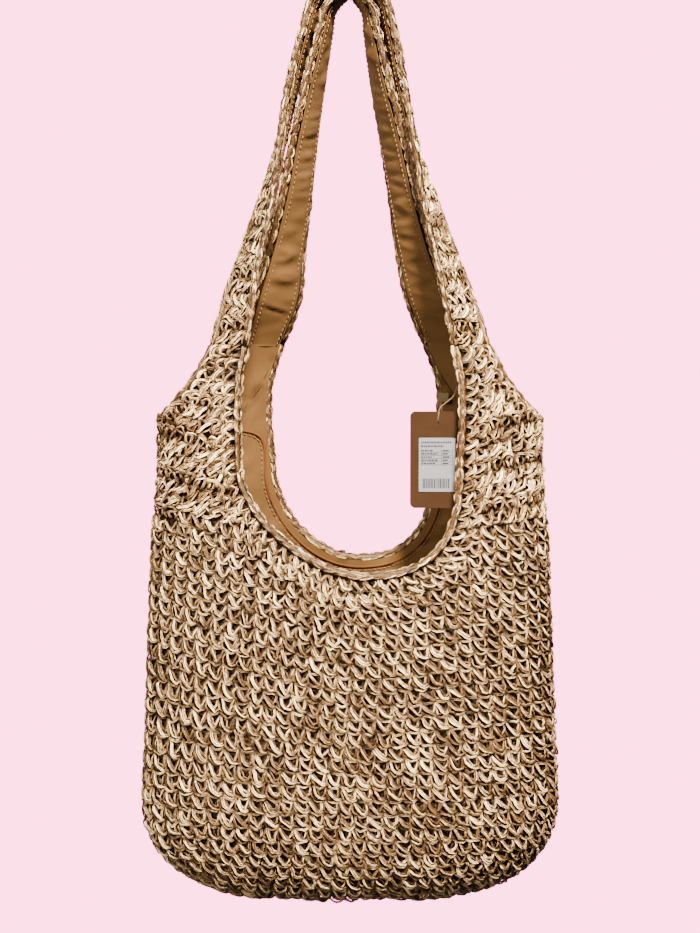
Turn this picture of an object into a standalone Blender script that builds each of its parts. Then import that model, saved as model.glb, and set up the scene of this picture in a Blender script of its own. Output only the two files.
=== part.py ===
"""A crocheted hobo bag with two lined handles, hanging from a hook.

Metres, +Z up. The front panel faces -Y and +X is on the right of someone facing it. The origin
is the underside of the inner handle's arch, where a hook carries the bag. The back handle's arch
lies inside the front handle's arch, and each handle folds over at its own shoulder line.
"""

import math

import bpy
import numpy as np

# Thicknesses and clearances.
CROCHET_THICKNESS = 0.007
LINING_THICKNESS = 0.001
GAP = 0.0003
LINING_GAP = 0.0006
LINING_SLACK = 0.0036
PANEL_CLEARANCE = 0.0020
HEM_GAP = 0.0024
EDGING_RADIUS = 0.0035
HEM_RADIUS = 0.0012

# Heights of the pouch, from the hook down.
FOLD_Z = -0.315
BUMP_Z = -0.382
NECK_SPRING_Z = -0.428
CORNER_TOP_Z = -0.733
BASE_Z = -0.830

# Half-width and half-depth of the pouch's mid surface above its rounded bottom, by height.
SIDE_PROFILE = [
    (CORNER_TOP_Z, 0.1905),
    (-0.660, 0.1870),
    (-0.560, 0.1830),
    (-0.490, 0.1800),
    (-0.440, 0.1735),
    (BUMP_Z, 0.1735),
    (-0.366, 0.1605),
    (-0.347, 0.1455),
    (-0.329, 0.1355),
    (FOLD_Z, 0.1285),
]
DEPTH_PROFILE = [
    (CORNER_TOP_Z, 0.055),
    (-0.600, 0.053),
    (-0.450, 0.048),
    (FOLD_Z, 0.047),
]

# The rounded bottom curves in from the corner height to a flat oval base.
BOTTOM_HALF_WIDTH = 0.062
BOTTOM_HALF_DEPTH = 0.008
BOTTOM_POWER = 2.3
RIM_ANGLE = math.radians(8)
SECTION_POWER = 2.5

# The neckline of each panel: the edging's centre line. Heights and widths of its straight
# legs, then its lowest point, and how square each lower corner is.
FRONT_NECK = {
    "left": [(-0.0943, FOLD_Z), (-0.1004, -0.346), (-0.1014, -0.380), (-0.1000, NECK_SPRING_Z)],
    "right": [(0.0943, FOLD_Z), (0.1004, -0.346), (0.1014, -0.380), (0.0985, NECK_SPRING_Z)],
    "low": (0.0095, -0.523),
    "power": (1.6, 2.6),
}
BACK_NECK = {
    "left": [(-0.0640, FOLD_Z), (-0.0750, -0.349), (-0.0770, -0.380), (-0.0730, NECK_SPRING_Z)],
    "right": [(0.0710, FOLD_Z), (0.0830, -0.349), (0.0850, -0.380), (0.0800, NECK_SPRING_Z)],
    "low": (0.0100, -0.5176),
    "power": (1.9, 2.4),
}
# The armhole edge of each panel from the bump up to the fold: distance from the middle.
FRONT_ARMHOLE = [(0.1565, -0.366), (0.1410, -0.347), (0.1310, -0.329), (0.1240, FOLD_Z)]
BACK_ARMHOLE = [(0.1520, -0.366), (0.1310, -0.347), (0.1150, -0.329), (0.1040, FOLD_Z)]

SLACK_HEIGHTS = (-0.560, -0.480)
HEM_SEAM_Z = -0.406
HEM_INSIDE_SEAM = 0.016
HEM_BELOW_NECKLINE = 0.010

# Stations of each handle from its shoulder to its arch: height, the near edge's distance from
# the middle and its depth, the far edge's distance and depth, and the sideways shift of both.
# The last row is the top of the arch.
FRONT_HANDLE = [
    (FOLD_Z, 0.0943, -0.0370, 0.1240, -0.0195, 0.0000),
    (-0.275, 0.0865, -0.0380, 0.1135, -0.0060, -0.0010),
    (-0.238, 0.0795, -0.0360, 0.1000, 0.0040, -0.0015),
    (-0.183, 0.0675, -0.0310, 0.0800, 0.0120, -0.0020),
    (-0.127, 0.0595, -0.0270, 0.0605, 0.0175, -0.0028),
    (-0.075, 0.0505, -0.0250, 0.0460, 0.0195, -0.0030),
    (-0.030, 0.0405, -0.0240, 0.0335, 0.0200, -0.0015),
    (0.000, 0.0300, -0.0240, 0.0250, 0.0200, -0.0010),
    (0.024, 0.0000, -0.0240, 0.0000, 0.0200, 0.0000),
]
BACK_HANDLE = [
    (FOLD_Z, 0.1040, 0.0335, 0.0675, 0.0430, 0.0035),
    (-0.275, 0.0920, 0.0150, 0.0515, 0.0340, 0.0030),
    (-0.238, 0.0770, 0.0080, 0.0455, 0.0310, 0.0010),
    (-0.183, 0.0605, -0.0045, 0.0385, 0.0280, 0.0000),
    (-0.127, 0.0488, -0.0115, 0.0310, 0.0260, -0.0012),
    (-0.075, 0.0370, -0.0170, 0.0235, 0.0250, -0.0020),
    (-0.030, 0.0255, -0.0190, 0.0180, 0.0250, -0.0015),
    (-0.012, 0.0205, -0.0190, 0.0160, 0.0250, -0.0010),
    (0.0048, 0.0000, -0.0190, 0.0000, 0.0250, 0.0000),
]
HANDLE_STEPS = 56

# The hang tag hangs inside the mouth on a string looped round the front panel's right shoulder.
TAG_WIDTH = 0.050
TAG_HEIGHT = 0.088
TAG_THICKNESS = 0.0008
TAG_CORNER = 0.005
TAG_CENTRE = (0.0795, -0.0240, -0.4190)
TAG_HOLE_BELOW_TOP = 0.009
TAG_HOLE_RADIUS = 0.0016
STICKER_WIDTH = 0.033
STICKER_HEIGHT = 0.049
STICKER_THICKNESS = 0.0003
STICKER_OFFSET = (-0.0005, -0.0045)
STRING_DIAMETER = 0.0014
STRING_TOP = (0.0925, -0.0290, -0.3290)
STRING_KNOT = (0.0975, -0.0270, -0.3480)
TAPE_SIZE = (0.0095, 0.0020, 0.0085)
TAPE_CENTRE = (0.0870, 0.0310, -0.3650)


def clear_scene():
    for existing in list(bpy.data.objects):
        bpy.data.objects.remove(existing, do_unlink=True)


def make_material(name, colour, roughness):
    material = bpy.data.materials.new(name)
    material.use_nodes = True
    shader = material.node_tree.nodes["Principled BSDF"]
    shader.inputs["Base Color"].default_value = (*colour, 1.0)
    shader.inputs["Roughness"].default_value = roughness
    shader.inputs["Metallic"].default_value = 0.0
    return material


def make_object(name, points, faces, material, smooth=True):
    """Closes a mesh from its points and faces, with every face pointing out."""
    mesh = bpy.data.meshes.new(name)
    mesh.from_pydata([tuple(point) for point in points], [], faces)
    mesh.validate()
    mesh.update()
    if signed_volume(mesh) < 0:
        mesh.flip_normals()
    if smooth:
        mesh.shade_smooth()
        mesh.set_sharp_from_angle(angle=math.radians(40))
    mesh.materials.append(material)
    built = bpy.data.objects.new(name, mesh)
    bpy.context.scene.collection.objects.link(built)
    return built


def signed_volume(mesh):
    mesh.calc_loop_triangles()
    total = 0.0
    for triangle in mesh.loop_triangles:
        a, b, c = (mesh.vertices[index].co for index in triangle.vertices)
        total += a.dot(b.cross(c))
    return total


def smooth_curve(points, steps):
    """A centripetal Catmull-Rom curve through the points, resampled evenly."""
    points = np.asarray(points, float)
    padded = np.vstack([2 * points[0] - points[1], points, 2 * points[-1] - points[-2]])
    knots = np.sqrt(np.linalg.norm(np.diff(padded, axis=0), axis=1)).cumsum()
    knots = np.concatenate([[0.0], knots])
    dense = []
    for index in range(1, len(padded) - 2):
        p0, p1, p2, p3 = padded[index - 1 : index + 3]
        t0, t1, t2, t3 = knots[index - 1 : index + 3]
        for t in np.linspace(t1, t2, 12, endpoint=False):
            a1 = (t1 - t) / (t1 - t0) * p0 + (t - t0) / (t1 - t0) * p1
            a2 = (t2 - t) / (t2 - t1) * p1 + (t - t1) / (t2 - t1) * p2
            a3 = (t3 - t) / (t3 - t2) * p2 + (t - t2) / (t3 - t2) * p3
            b1 = (t2 - t) / (t2 - t0) * a1 + (t - t0) / (t2 - t0) * a2
            b2 = (t3 - t) / (t3 - t1) * a2 + (t - t1) / (t3 - t1) * a3
            dense.append((t2 - t) / (t2 - t1) * b1 + (t - t1) / (t2 - t1) * b2)
    dense.append(points[-1])
    return resample(np.array(dense), steps)


def resample(points, steps):
    """The same line as evenly spaced points, steps + 1 of them."""
    points = np.asarray(points, float)
    along = np.concatenate([[0.0], np.linalg.norm(np.diff(points, axis=0), axis=1).cumsum()])
    wanted = np.linspace(0.0, along[-1], steps + 1)
    return np.stack([np.interp(wanted, along, axis) for axis in points.T], axis=1)


# The pouch's mid surface.


def section(z):
    """Half-width and half-depth of the pouch's mid surface at height z."""
    bottom = BASE_Z + CROCHET_THICKNESS / 2
    if z < CORNER_TOP_Z:
        drop = min(1.0, (CORNER_TOP_Z - z) / (CORNER_TOP_Z - bottom))
        curve = (1.0 - drop**BOTTOM_POWER) ** (1.0 / BOTTOM_POWER)
        half_width = BOTTOM_HALF_WIDTH + (SIDE_PROFILE[0][1] - BOTTOM_HALF_WIDTH) * curve
        half_depth = BOTTOM_HALF_DEPTH + (DEPTH_PROFILE[0][1] - BOTTOM_HALF_DEPTH) * curve
        return half_width, half_depth
    side_z, side_value = zip(*SIDE_PROFILE)
    depth_z, depth_value = zip(*DEPTH_PROFILE)
    return float(np.interp(z, side_z, side_value)), float(np.interp(z, depth_z, depth_value))


def height_at_rim():
    """The mid surface's height where the walls meet the flat base."""
    bottom = BASE_Z + CROCHET_THICKNESS / 2
    return CORNER_TOP_Z - (CORNER_TOP_Z - bottom) * math.cos(RIM_ANGLE) ** (2.0 / BOTTOM_POWER)


def girth_table():
    """Heights and the distance along the side from the rim up to each."""
    bottom = BASE_Z + CROCHET_THICKNESS / 2
    angles = np.linspace(RIM_ANGLE, math.pi / 2, 60)
    low = CORNER_TOP_Z - (CORNER_TOP_Z - bottom) * np.cos(angles) ** (2.0 / BOTTOM_POWER)
    heights = np.concatenate([low[:-1], np.linspace(CORNER_TOP_Z, FOLD_Z, 60)])
    widths = np.array([section(z)[0] for z in heights])
    steps = np.hypot(np.diff(heights), np.diff(widths))
    return heights, np.concatenate([[0.0], steps.cumsum()])


def angle_of(x, z):
    """The section's angle, from 0 at the right seam to pi at the left, of the point at x."""
    ratio = max(-1.0, min(1.0, x / section(z)[0]))
    return math.acos(math.copysign(abs(ratio) ** (SECTION_POWER / 2), ratio))


def on_pouch(angle, z, side, offset=0.0, seam=0.0):
    """A point of the pouch, offset outwards from the mid surface. side is -1 front, 1 back."""
    half_width, half_depth = section(z)
    cosine = math.cos(angle)
    across = math.copysign(abs(cosine) ** (2 / SECTION_POWER), cosine)
    deep = max(0.0, math.sin(angle)) ** (2 / SECTION_POWER)
    point = np.array([half_width * across, side * half_depth * deep, z])
    if offset:
        point = point + offset * pouch_normal(across, deep, z, side)
    point[1] = side * max(side * point[1], seam)
    return point


def pouch_normal(across, deep, z, side):
    """The outward normal where the section's unit coordinates are across and deep."""
    half_width, half_depth = section(z)
    step = 0.002
    above, below = section(z + step), section(z - step)
    wider = (above[0] - below[0]) / (2 * step)
    deeper = (above[1] - below[1]) / (2 * step)
    power = SECTION_POWER
    normal = np.array(
        [
            math.copysign(abs(across) ** (power - 1), across) / half_width,
            side * deep ** (power - 1) / half_depth,
            -(abs(across) ** power * wider / half_width + deep**power * deeper / half_depth),
        ]
    )
    return normal / np.linalg.norm(normal)


# The openings' edges, as points (x, z) on a panel.


def bowl(neck, steps):
    """The neckline's curved bottom, from the left spring point to the right one."""
    low_x, low_z = neck["low"]
    left_x, right_x = neck["left"][-1][0], neck["right"][-1][0]
    points = []
    for angle in np.linspace(0.0, math.pi, steps + 1):
        radius, power = (low_x - left_x, neck["power"][0])
        if angle > math.pi / 2:
            radius, power = (right_x - low_x, neck["power"][1])
        across = math.copysign(abs(math.cos(angle)) ** (2 / power), math.cos(angle))
        down = math.sin(angle) ** (2 / power)
        points.append((low_x - radius * across, NECK_SPRING_Z + (low_z - NECK_SPRING_Z) * down))
    return points


def armhole(panel, sign):
    """The armhole edge of one panel on one side, from the bump up to the fold."""
    bump = section(BUMP_Z)[0] - 0.0005
    return [(sign * x, z) for x, z in [(bump, BUMP_Z), *panel]]


def edge_inset(points, distance):
    """A line in the panel's plane moved sideways, to the right of its direction."""
    points = np.asarray(points, float)
    tangent = np.gradient(points, axis=0)
    tangent /= np.linalg.norm(tangent, axis=1)[:, None]
    return points + distance * np.stack([tangent[:, 1], -tangent[:, 0]], axis=1)


def panel_top(side, inset):
    """A panel's top edge from seam to seam, set in from the edging's centre lines."""
    neck, hole = (FRONT_NECK, FRONT_ARMHOLE) if side < 0 else (BACK_NECK, BACK_ARMHOLE)
    left_hole = edge_inset(resample(armhole(hole, -1), 5), inset)
    right_hole = edge_inset(resample(armhole(hole, 1)[::-1], 5), inset)
    left_leg = resample(neck["left"], 4)
    right_leg = resample(neck["right"][::-1], 4)
    middle = resample(bowl(neck, 60), 18)
    mouth = edge_inset(np.vstack([left_leg, middle[1:-1], right_leg]), inset)
    left_hole[0] = (-section(BUMP_Z)[0], BUMP_Z - inset)
    right_hole[-1] = (section(BUMP_Z)[0], BUMP_Z - inset)
    for line, end in ((left_hole, -1), (right_hole, 0), (mouth, 0), (mouth, -1)):
        line[end][1] = FOLD_Z
    left_fold = np.linspace(left_hole[-1], mouth[0], 4)[1:-1]
    right_fold = np.linspace(mouth[-1], right_hole[0], 4)[1:-1]
    return np.vstack([left_hole, left_fold, mouth, right_fold, right_hole])


def panel_grid(side, offset, inset, seam, rows, slack=0.0):
    """Points of one panel, row by row from the base rim to the top edge. slack is the extra
    distance that a loose layer keeps at the shoulders."""
    heights, girths = girth_table()
    rim = height_at_rim()
    top = panel_top(side, inset)
    columns = len(top)
    grid = np.zeros((rows + 1, columns, 3))
    for column, (x, z) in enumerate(top):
        low_angle = math.pi * (1 - column / (columns - 1))
        high_angle = angle_of(x, z)
        if column == 0:
            high_angle = math.pi
        if column == columns - 1:
            high_angle = 0.0
        full = np.interp(z, heights, girths)
        for row in range(rows + 1):
            share = row / rows
            height = rim if row == 0 else float(np.interp(full * share, girths, heights))
            angle = low_angle + (high_angle - low_angle) * share**1.5
            loose = slack * float(np.interp(height, SLACK_HEIGHTS, (0.0, 1.0)))
            point = on_pouch(angle, height, side, offset - loose, seam)
            point[2] = min(point[2], FOLD_Z - GAP / 2)
            grid[row, column] = point
    return grid


def grid_solid(outer, inner):
    """Points and faces of the solid between two open grids of the same shape."""
    rows, columns = outer.shape[:2]
    points = np.concatenate([outer.reshape(-1, 3), inner.reshape(-1, 3)])
    size = rows * columns
    faces = []
    for row in range(rows - 1):
        for column in range(columns - 1):
            a = row * columns + column
            b, c, d = a + 1, a + columns + 1, a + columns
            for corners in ((a, b, c), (a, c, d)):
                faces.append(corners)
                faces.append(tuple(corner + size for corner in reversed(corners)))
    border = [column for column in range(columns)]
    border += [row * columns + columns - 1 for row in range(1, rows)]
    border += [(rows - 1) * columns + column for column in range(columns - 2, -1, -1)]
    border += [row * columns for row in range(rows - 2, 0, -1)]
    for here, there in zip(border, border[1:] + border[:1]):
        faces.append((there, here, here + size, there + size))
    return points, faces


def make_panel(name, side, material):
    half = CROCHET_THICKNESS / 2
    inset = EDGING_RADIUS + PANEL_CLEARANCE
    outer = panel_grid(side, half, inset, GAP / 2, rows=14)
    inner = panel_grid(side, -half, inset, GAP / 2, rows=14)
    return make_object(name, *grid_solid(outer, inner), material)


def rim_loop(offset, shrink):
    """The outline where the walls meet the base, pulled in by shrink."""
    rim = height_at_rim()
    loop = []
    for side in (-1, 1):
        angles = np.linspace(math.pi, 0, 25)[:-1] if side < 0 else np.linspace(0, math.pi, 25)[:-1]
        for angle in angles:
            loop.append(on_pouch(angle, rim, side, offset))
    loop = np.array(loop)
    flat = loop[:, :2]
    tangent = np.roll(flat, -1, axis=0) - np.roll(flat, 1, axis=0)
    tangent /= np.linalg.norm(tangent, axis=1)[:, None]
    loop[:, 0] -= shrink * tangent[:, 1]
    loop[:, 1] += shrink * tangent[:, 0]
    return loop


def make_base(material):
    half = CROCHET_THICKNESS / 2
    bottom = rim_loop(half, 0.0012)
    top = rim_loop(-half, 0.0004)
    bottom[:, 2] = BASE_Z
    top[:, 2] = BASE_Z + CROCHET_THICKNESS - GAP
    count = len(bottom)
    points = np.concatenate([bottom, top])
    faces = [tuple(range(count)), tuple(range(2 * count - 1, count - 1, -1))]
    for here in range(count):
        there = (here + 1) % count
        faces.append((there, here, here + count, there + count))
    return make_object("crochet_base", points, faces, material)


def make_lining_pouch(material):
    """One bag of cloth inside the crochet: two panels that share their seams, and a floor."""
    near = -(CROCHET_THICKNESS / 2 + LINING_GAP)
    inset = EDGING_RADIUS + PANEL_CLEARANCE
    layers = []
    for offset in (near, near - LINING_THICKNESS):
        front = panel_grid(-1, offset, inset, 0.0, rows=14, slack=LINING_SLACK)
        back = panel_grid(1, offset, inset, 0.0, rows=14, slack=LINING_SLACK)
        layers.append(np.concatenate([front, back[:, -2:0:-1]], axis=1))
    rows, columns = layers[0].shape[:2]
    layers[0][0, :, 2] = layers[0][0, :, 2].max() + GAP
    layers[1][0, :, 2] = layers[0][0, 0, 2] + LINING_THICKNESS
    points = np.concatenate([layer.reshape(-1, 3) for layer in layers])
    size = rows * columns
    faces = [tuple(range(columns)), tuple(size + index for index in reversed(range(columns)))]
    front_columns = (columns + 2) // 2
    for row in range(rows - 1):
        for column in range(columns):
            a = row * columns + column
            b = row * columns + (column + 1) % columns
            c, d = b + columns, a + columns
            halves = ((a, b, c), (a, c, d))
            if column >= front_columns - 1:
                halves = ((a, b, d), (b, c, d))
            for corners in halves:
                faces.append(tuple(reversed(corners)))
                faces.append(tuple(corner + size for corner in corners))
    last = (rows - 1) * columns
    for column in range(columns):
        a, b = last + column, last + (column + 1) % columns
        faces.append((b, a, a + size, b + size))
    return make_object("lining_pouch", points, faces, material)


# Tubes: edgings, the lining's hem and the string.


def frame_along(path, closed):
    """Tangent and two crosswise directions at each point, turning as little as possible."""
    path = np.asarray(path, float)
    if closed:
        tangent = np.roll(path, -1, axis=0) - np.roll(path, 1, axis=0)
    else:
        tangent = np.gradient(path, axis=0)
    tangent /= np.linalg.norm(tangent, axis=1)[:, None]
    start = np.array([0.0, 1.0, 0.0])
    if abs(tangent[0] @ start) > 0.9:
        start = np.array([1.0, 0.0, 0.0])
    first = [start - (start @ tangent[0]) * tangent[0]]
    for direction in tangent[1:]:
        moved = first[-1] - (first[-1] @ direction) * direction
        first.append(moved / np.linalg.norm(moved))
    first = np.array(first)
    first[0] /= np.linalg.norm(first[0])
    return tangent, first, np.cross(tangent, first)


def make_tube(name, path, radius, material, sides=6, closed=False, ends_at=None):
    """A tube along a path. ends_at is the height that both of its ends are cut level at."""
    path = np.asarray(path, float)
    _, first, second = frame_along(path, closed)
    turns = np.linspace(0, 2 * math.pi, sides, endpoint=False)
    rings = [
        point + radius * (np.outer(np.cos(turns), u) + np.outer(np.sin(turns), v))
        for point, u, v in zip(path, first, second)
    ]
    if ends_at is not None:
        rings[0][:, 2] = ends_at
        rings[-1][:, 2] = ends_at
    points = np.concatenate(rings)
    count = len(rings)
    faces = []
    for ring in range(count if closed else count - 1):
        next_ring = (ring + 1) % count
        for side in range(sides):
            turn = (side + 1) % sides
            here, there = ring * sides, next_ring * sides
            faces.append((here + side, here + turn, there + turn, there + side))
    if not closed:
        faces.append(tuple(reversed(range(sides))))
        faces.append(tuple(range((count - 1) * sides, count * sides)))
    return make_object(name, points, faces, material)


def on_panel(line, side, offset=0.0):
    """Points (x, z) of a panel as points in space."""
    return np.array([on_pouch(angle_of(x, z), z, side, offset) for x, z in line])


def make_pouch_edgings(material):
    below_fold = FOLD_Z - GAP / 2
    for name, side, neck in (("front", -1, FRONT_NECK), ("back", 1, BACK_NECK)):
        line = [*neck["left"][:-1], *bowl(neck, 16), *neck["right"][-2::-1]]
        path = smooth_curve(on_panel(line, side), 56)
        make_tube(f"{name}_neck_edging", path, EDGING_RADIUS, material, ends_at=below_fold)
    for name, sign in (("left", -1), ("right", 1)):
        front = on_panel(armhole(FRONT_ARMHOLE, sign)[::-1], -1)
        back = on_panel(armhole(BACK_ARMHOLE, sign), 1)
        bump = (front[-1] + back[0]) / 2
        path = smooth_curve(np.vstack([front[:-1], bump, back[1:]]), 24)
        make_tube(f"{name}_armhole_edging", path, EDGING_RADIUS, material, ends_at=below_fold)


def hem_line(side):
    """The hem's height across one panel, from seam to seam: over both shoulder roots and
    round the neckline, just below its edging."""
    neck = FRONT_NECK if side < 0 else BACK_NECK
    curve = edge_inset(resample(bowl(neck, 60), 16), HEM_BELOW_NECKLINE)
    seam = section(HEM_SEAM_Z)[0] - HEM_INSIDE_SEAM
    left_root = [(-seam, HEM_SEAM_Z), (-0.130, -0.397)]
    right_root = [(0.130, -0.391), (seam, HEM_SEAM_Z)]
    left_turn = (neck["left"][-1][0] - 0.012, -0.402)
    right_turn = (neck["right"][-1][0] + 0.010, -0.387)
    return [*left_root, left_turn, *curve[1:-1], right_turn, *right_root]


def hem_point(x, z, side):
    """A point of the hem, just inside the lining, pulled well clear of the side seams."""
    half_width, half_depth = section(z)
    lining = CROCHET_THICKNESS / 2 + LINING_GAP + LINING_SLACK + LINING_THICKNESS
    inside = lining + HEM_GAP + HEM_RADIUS
    share = min(1.0, abs(x) / (half_width - HEM_INSIDE_SEAM))
    deep = (1.0 - share**SECTION_POWER) ** (1.0 / SECTION_POWER)
    return (x, side * (half_depth - inside) * deep, z)


def make_hem(material):
    front = [hem_point(x, z, -1) for x, z in smooth_curve(hem_line(-1), 66)]
    back = [hem_point(x, z, 1) for x, z in smooth_curve(hem_line(1)[::-1], 66)]
    path = resample(np.array([*front[:-1], *back[:-1], front[0]]), 132)
    return make_tube("lining_hem", path[:-1], HEM_RADIUS, material, sides=5, closed=True)


# Handles.


def handle_edges(stations):
    """The near and far edges' centre lines, from the left shoulder over the arch to the right."""
    near, far = [], []
    for sign, rows in ((-1, stations), (1, stations[-2::-1])):
        for z, near_x, near_y, far_x, far_y, shift in rows:
            near.append((shift + sign * near_x, near_y, z))
            far.append((shift + sign * far_x, far_y, z))
    both = smooth_curve(np.hstack([near, far]), HANDLE_STEPS)
    return both[:, :3], both[:, 3:]


def handle_frame(near, far):
    """Unit directions across the band and out of its crochet face."""
    across = far - near
    across /= np.linalg.norm(across, axis=1)[:, None]
    along = np.gradient((near + far) / 2, axis=0)
    outward = np.cross(along, across)
    outward /= np.linalg.norm(outward, axis=1)[:, None]
    return across, outward


def make_band(name, near, far, inset, outer, inner, material, columns=3):
    """A strip between two edges, from the distance outer to inner along its normal."""
    across, outward = handle_frame(near, far)
    left = near + inset * across
    right = far - inset * across
    shares = np.linspace(0, 1, columns + 1)
    grids = []
    for offset in (outer, inner):
        rows = [left + share * (right - left) + offset * outward for share in shares]
        grid = np.stack(rows, axis=1)
        grid[0, :, 2] = FOLD_Z + GAP / 2
        grid[-1, :, 2] = FOLD_Z + GAP / 2
        grids.append(grid)
    return make_object(name, *grid_solid(*grids), material)


def make_handle(name, stations, crochet, edging, lining):
    near, far = handle_edges(stations)
    half = CROCHET_THICKNESS / 2
    above_fold = FOLD_Z + GAP / 2
    make_band(f"{name}_handle_crochet", near, far, EDGING_RADIUS + GAP, half, -half, crochet)
    for place, path in (("near", near), ("far", far)):
        node = f"{name}_handle_{place}_edging"
        make_tube(node, path, EDGING_RADIUS, edging, ends_at=above_fold)
    outer = -(half + LINING_GAP)
    inner = outer - LINING_THICKNESS
    inset = EDGING_RADIUS + 0.002
    make_band(f"{name}_handle_lining", near, far, inset, outer, inner, lining)


# The tag and its loop of tape.


def rounded_outline(width, height, corner, steps=5):
    points = []
    for quarter, (sx, sz) in enumerate(((1, 1), (-1, 1), (-1, -1), (1, -1))):
        for step in range(steps + 1):
            angle = (quarter + step / steps) * math.pi / 2
            x = sx * (width / 2 - corner) + corner * math.cos(angle)
            z = sz * (height / 2 - corner) + corner * math.sin(angle)
            points.append((x, z))
    return points


def make_plate(name, outline, centre, thickness, material, hole=None):
    """An upright plate facing the front. hole is (x, z, radius) from its centre."""
    count = len(outline)
    centre = np.array(centre)
    rings = [outline]
    if hole:
        hole_x, hole_z, radius = hole
        ring = []
        for x, z in outline:
            turn = math.atan2(z - hole_z, x - hole_x)
            ring.append((hole_x + radius * math.cos(turn), hole_z + radius * math.sin(turn)))
        rings.append(ring)
    points = []
    for ring in rings:
        for y in (-thickness / 2, thickness / 2):
            points += [centre + np.array([x, y, z]) for x, z in ring]
    faces = []
    for here in range(count):
        there = (here + 1) % count
        faces.append((here, there, there + count, here + count))
        if hole:
            low, high = 2 * count, 3 * count
            faces.append((low + there, low + here, high + here, high + there))
            faces.append((there, here, low + here, low + there))
            faces.append((count + here, count + there, high + there, high + here))
    if not hole:
        faces.append(tuple(range(count - 1, -1, -1)))
        faces.append(tuple(range(count, 2 * count)))
    return make_object(name, points, faces, material, smooth=False)


def string_route():
    """From the shoulder's edge down to the knot, then to the tag's hole."""
    hole_z = TAG_CENTRE[2] + TAG_HEIGHT / 2 - TAG_HOLE_BELOW_TOP
    over_z = TAG_CENTRE[2] + TAG_HEIGHT / 2 + 0.0030
    front_y = TAG_CENTRE[1] - TAG_THICKNESS / 2 - STRING_DIAMETER / 2 - GAP
    return [
        STRING_TOP,
        (0.0965, -0.0280, -0.3370),
        STRING_KNOT,
        (0.0935, -0.0260, -0.3610),
        (TAG_CENTRE[0] + 0.0020, (TAG_CENTRE[1] + front_y) / 2, over_z),
        (TAG_CENTRE[0] + 0.0005, front_y - 0.0003, hole_z + 0.0050),
        (TAG_CENTRE[0], front_y, hole_z + 0.0005),
    ]


def make_string(material):
    curve = bpy.data.curves.new("tag_string", "CURVE")
    curve.dimensions = "3D"
    curve.bevel_depth = STRING_DIAMETER / 2
    curve.bevel_resolution = 2
    curve.use_fill_caps = True
    spline = curve.splines.new("POLY")
    route = smooth_curve(string_route(), 22)
    spline.points.add(len(route) - 1)
    for place, point in zip(spline.points, route):
        place.co = (*point, 1.0)
    curve.materials.append(material)
    built = bpy.data.objects.new("tag_string", curve)
    bpy.context.scene.collection.objects.link(built)
    return built


def make_tag(card, label, cord, tape):
    hole = (0.0, TAG_HEIGHT / 2 - TAG_HOLE_BELOW_TOP, TAG_HOLE_RADIUS)
    outline = rounded_outline(TAG_WIDTH, TAG_HEIGHT, TAG_CORNER)
    make_plate("hang_tag", outline, TAG_CENTRE, TAG_THICKNESS, card, hole)
    front = TAG_CENTRE[1] - TAG_THICKNESS / 2 - GAP - STICKER_THICKNESS / 2
    place = (TAG_CENTRE[0] + STICKER_OFFSET[0], front, TAG_CENTRE[2] + STICKER_OFFSET[1])
    outline = rounded_outline(STICKER_WIDTH, STICKER_HEIGHT, 0.0008, steps=2)
    make_plate("tag_sticker", outline, place, STICKER_THICKNESS, label)
    make_string(cord)
    width, depth, height = TAPE_SIZE
    outline = rounded_outline(width, height, 0.0008, steps=2)
    make_plate("tape_loop", outline, TAPE_CENTRE, depth, tape)


def build():
    clear_scene()
    straw = make_material("straw", (0.66, 0.50, 0.34), 0.55)
    chain = make_material("straw_edging", (0.72, 0.57, 0.40), 0.50)
    cloth = make_material("lining_cloth", (0.42, 0.27, 0.13), 0.45)
    hem = make_material("hem_cloth", (0.33, 0.17, 0.08), 0.50)
    card = make_material("kraft_card", (0.37, 0.22, 0.13), 0.80)
    label = make_material("white_label", (0.75, 0.74, 0.70), 0.60)
    cord = make_material("hemp_string", (0.55, 0.40, 0.25), 0.80)
    tape = make_material("cotton_tape", (0.40, 0.31, 0.16), 0.70)
    make_base(straw)
    make_panel("crochet_front", -1, straw)
    make_panel("crochet_back", 1, straw)
    make_pouch_edgings(chain)
    make_lining_pouch(cloth)
    make_hem(hem)
    make_handle("front", FRONT_HANDLE, straw, chain, cloth)
    make_handle("back", BACK_HANDLE, straw, chain, cloth)
    make_tag(card, label, cord, tape)


build()
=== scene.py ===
"""The looks of a crocheted hobo bag with two lined handles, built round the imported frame.

Metres, +Z up, the front faces -Y. The origin is the underside of the inner handle's arch.
Each crochet stitch is a group of folded paper-straw strands laid on the bag's surface.
"""

import math

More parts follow.
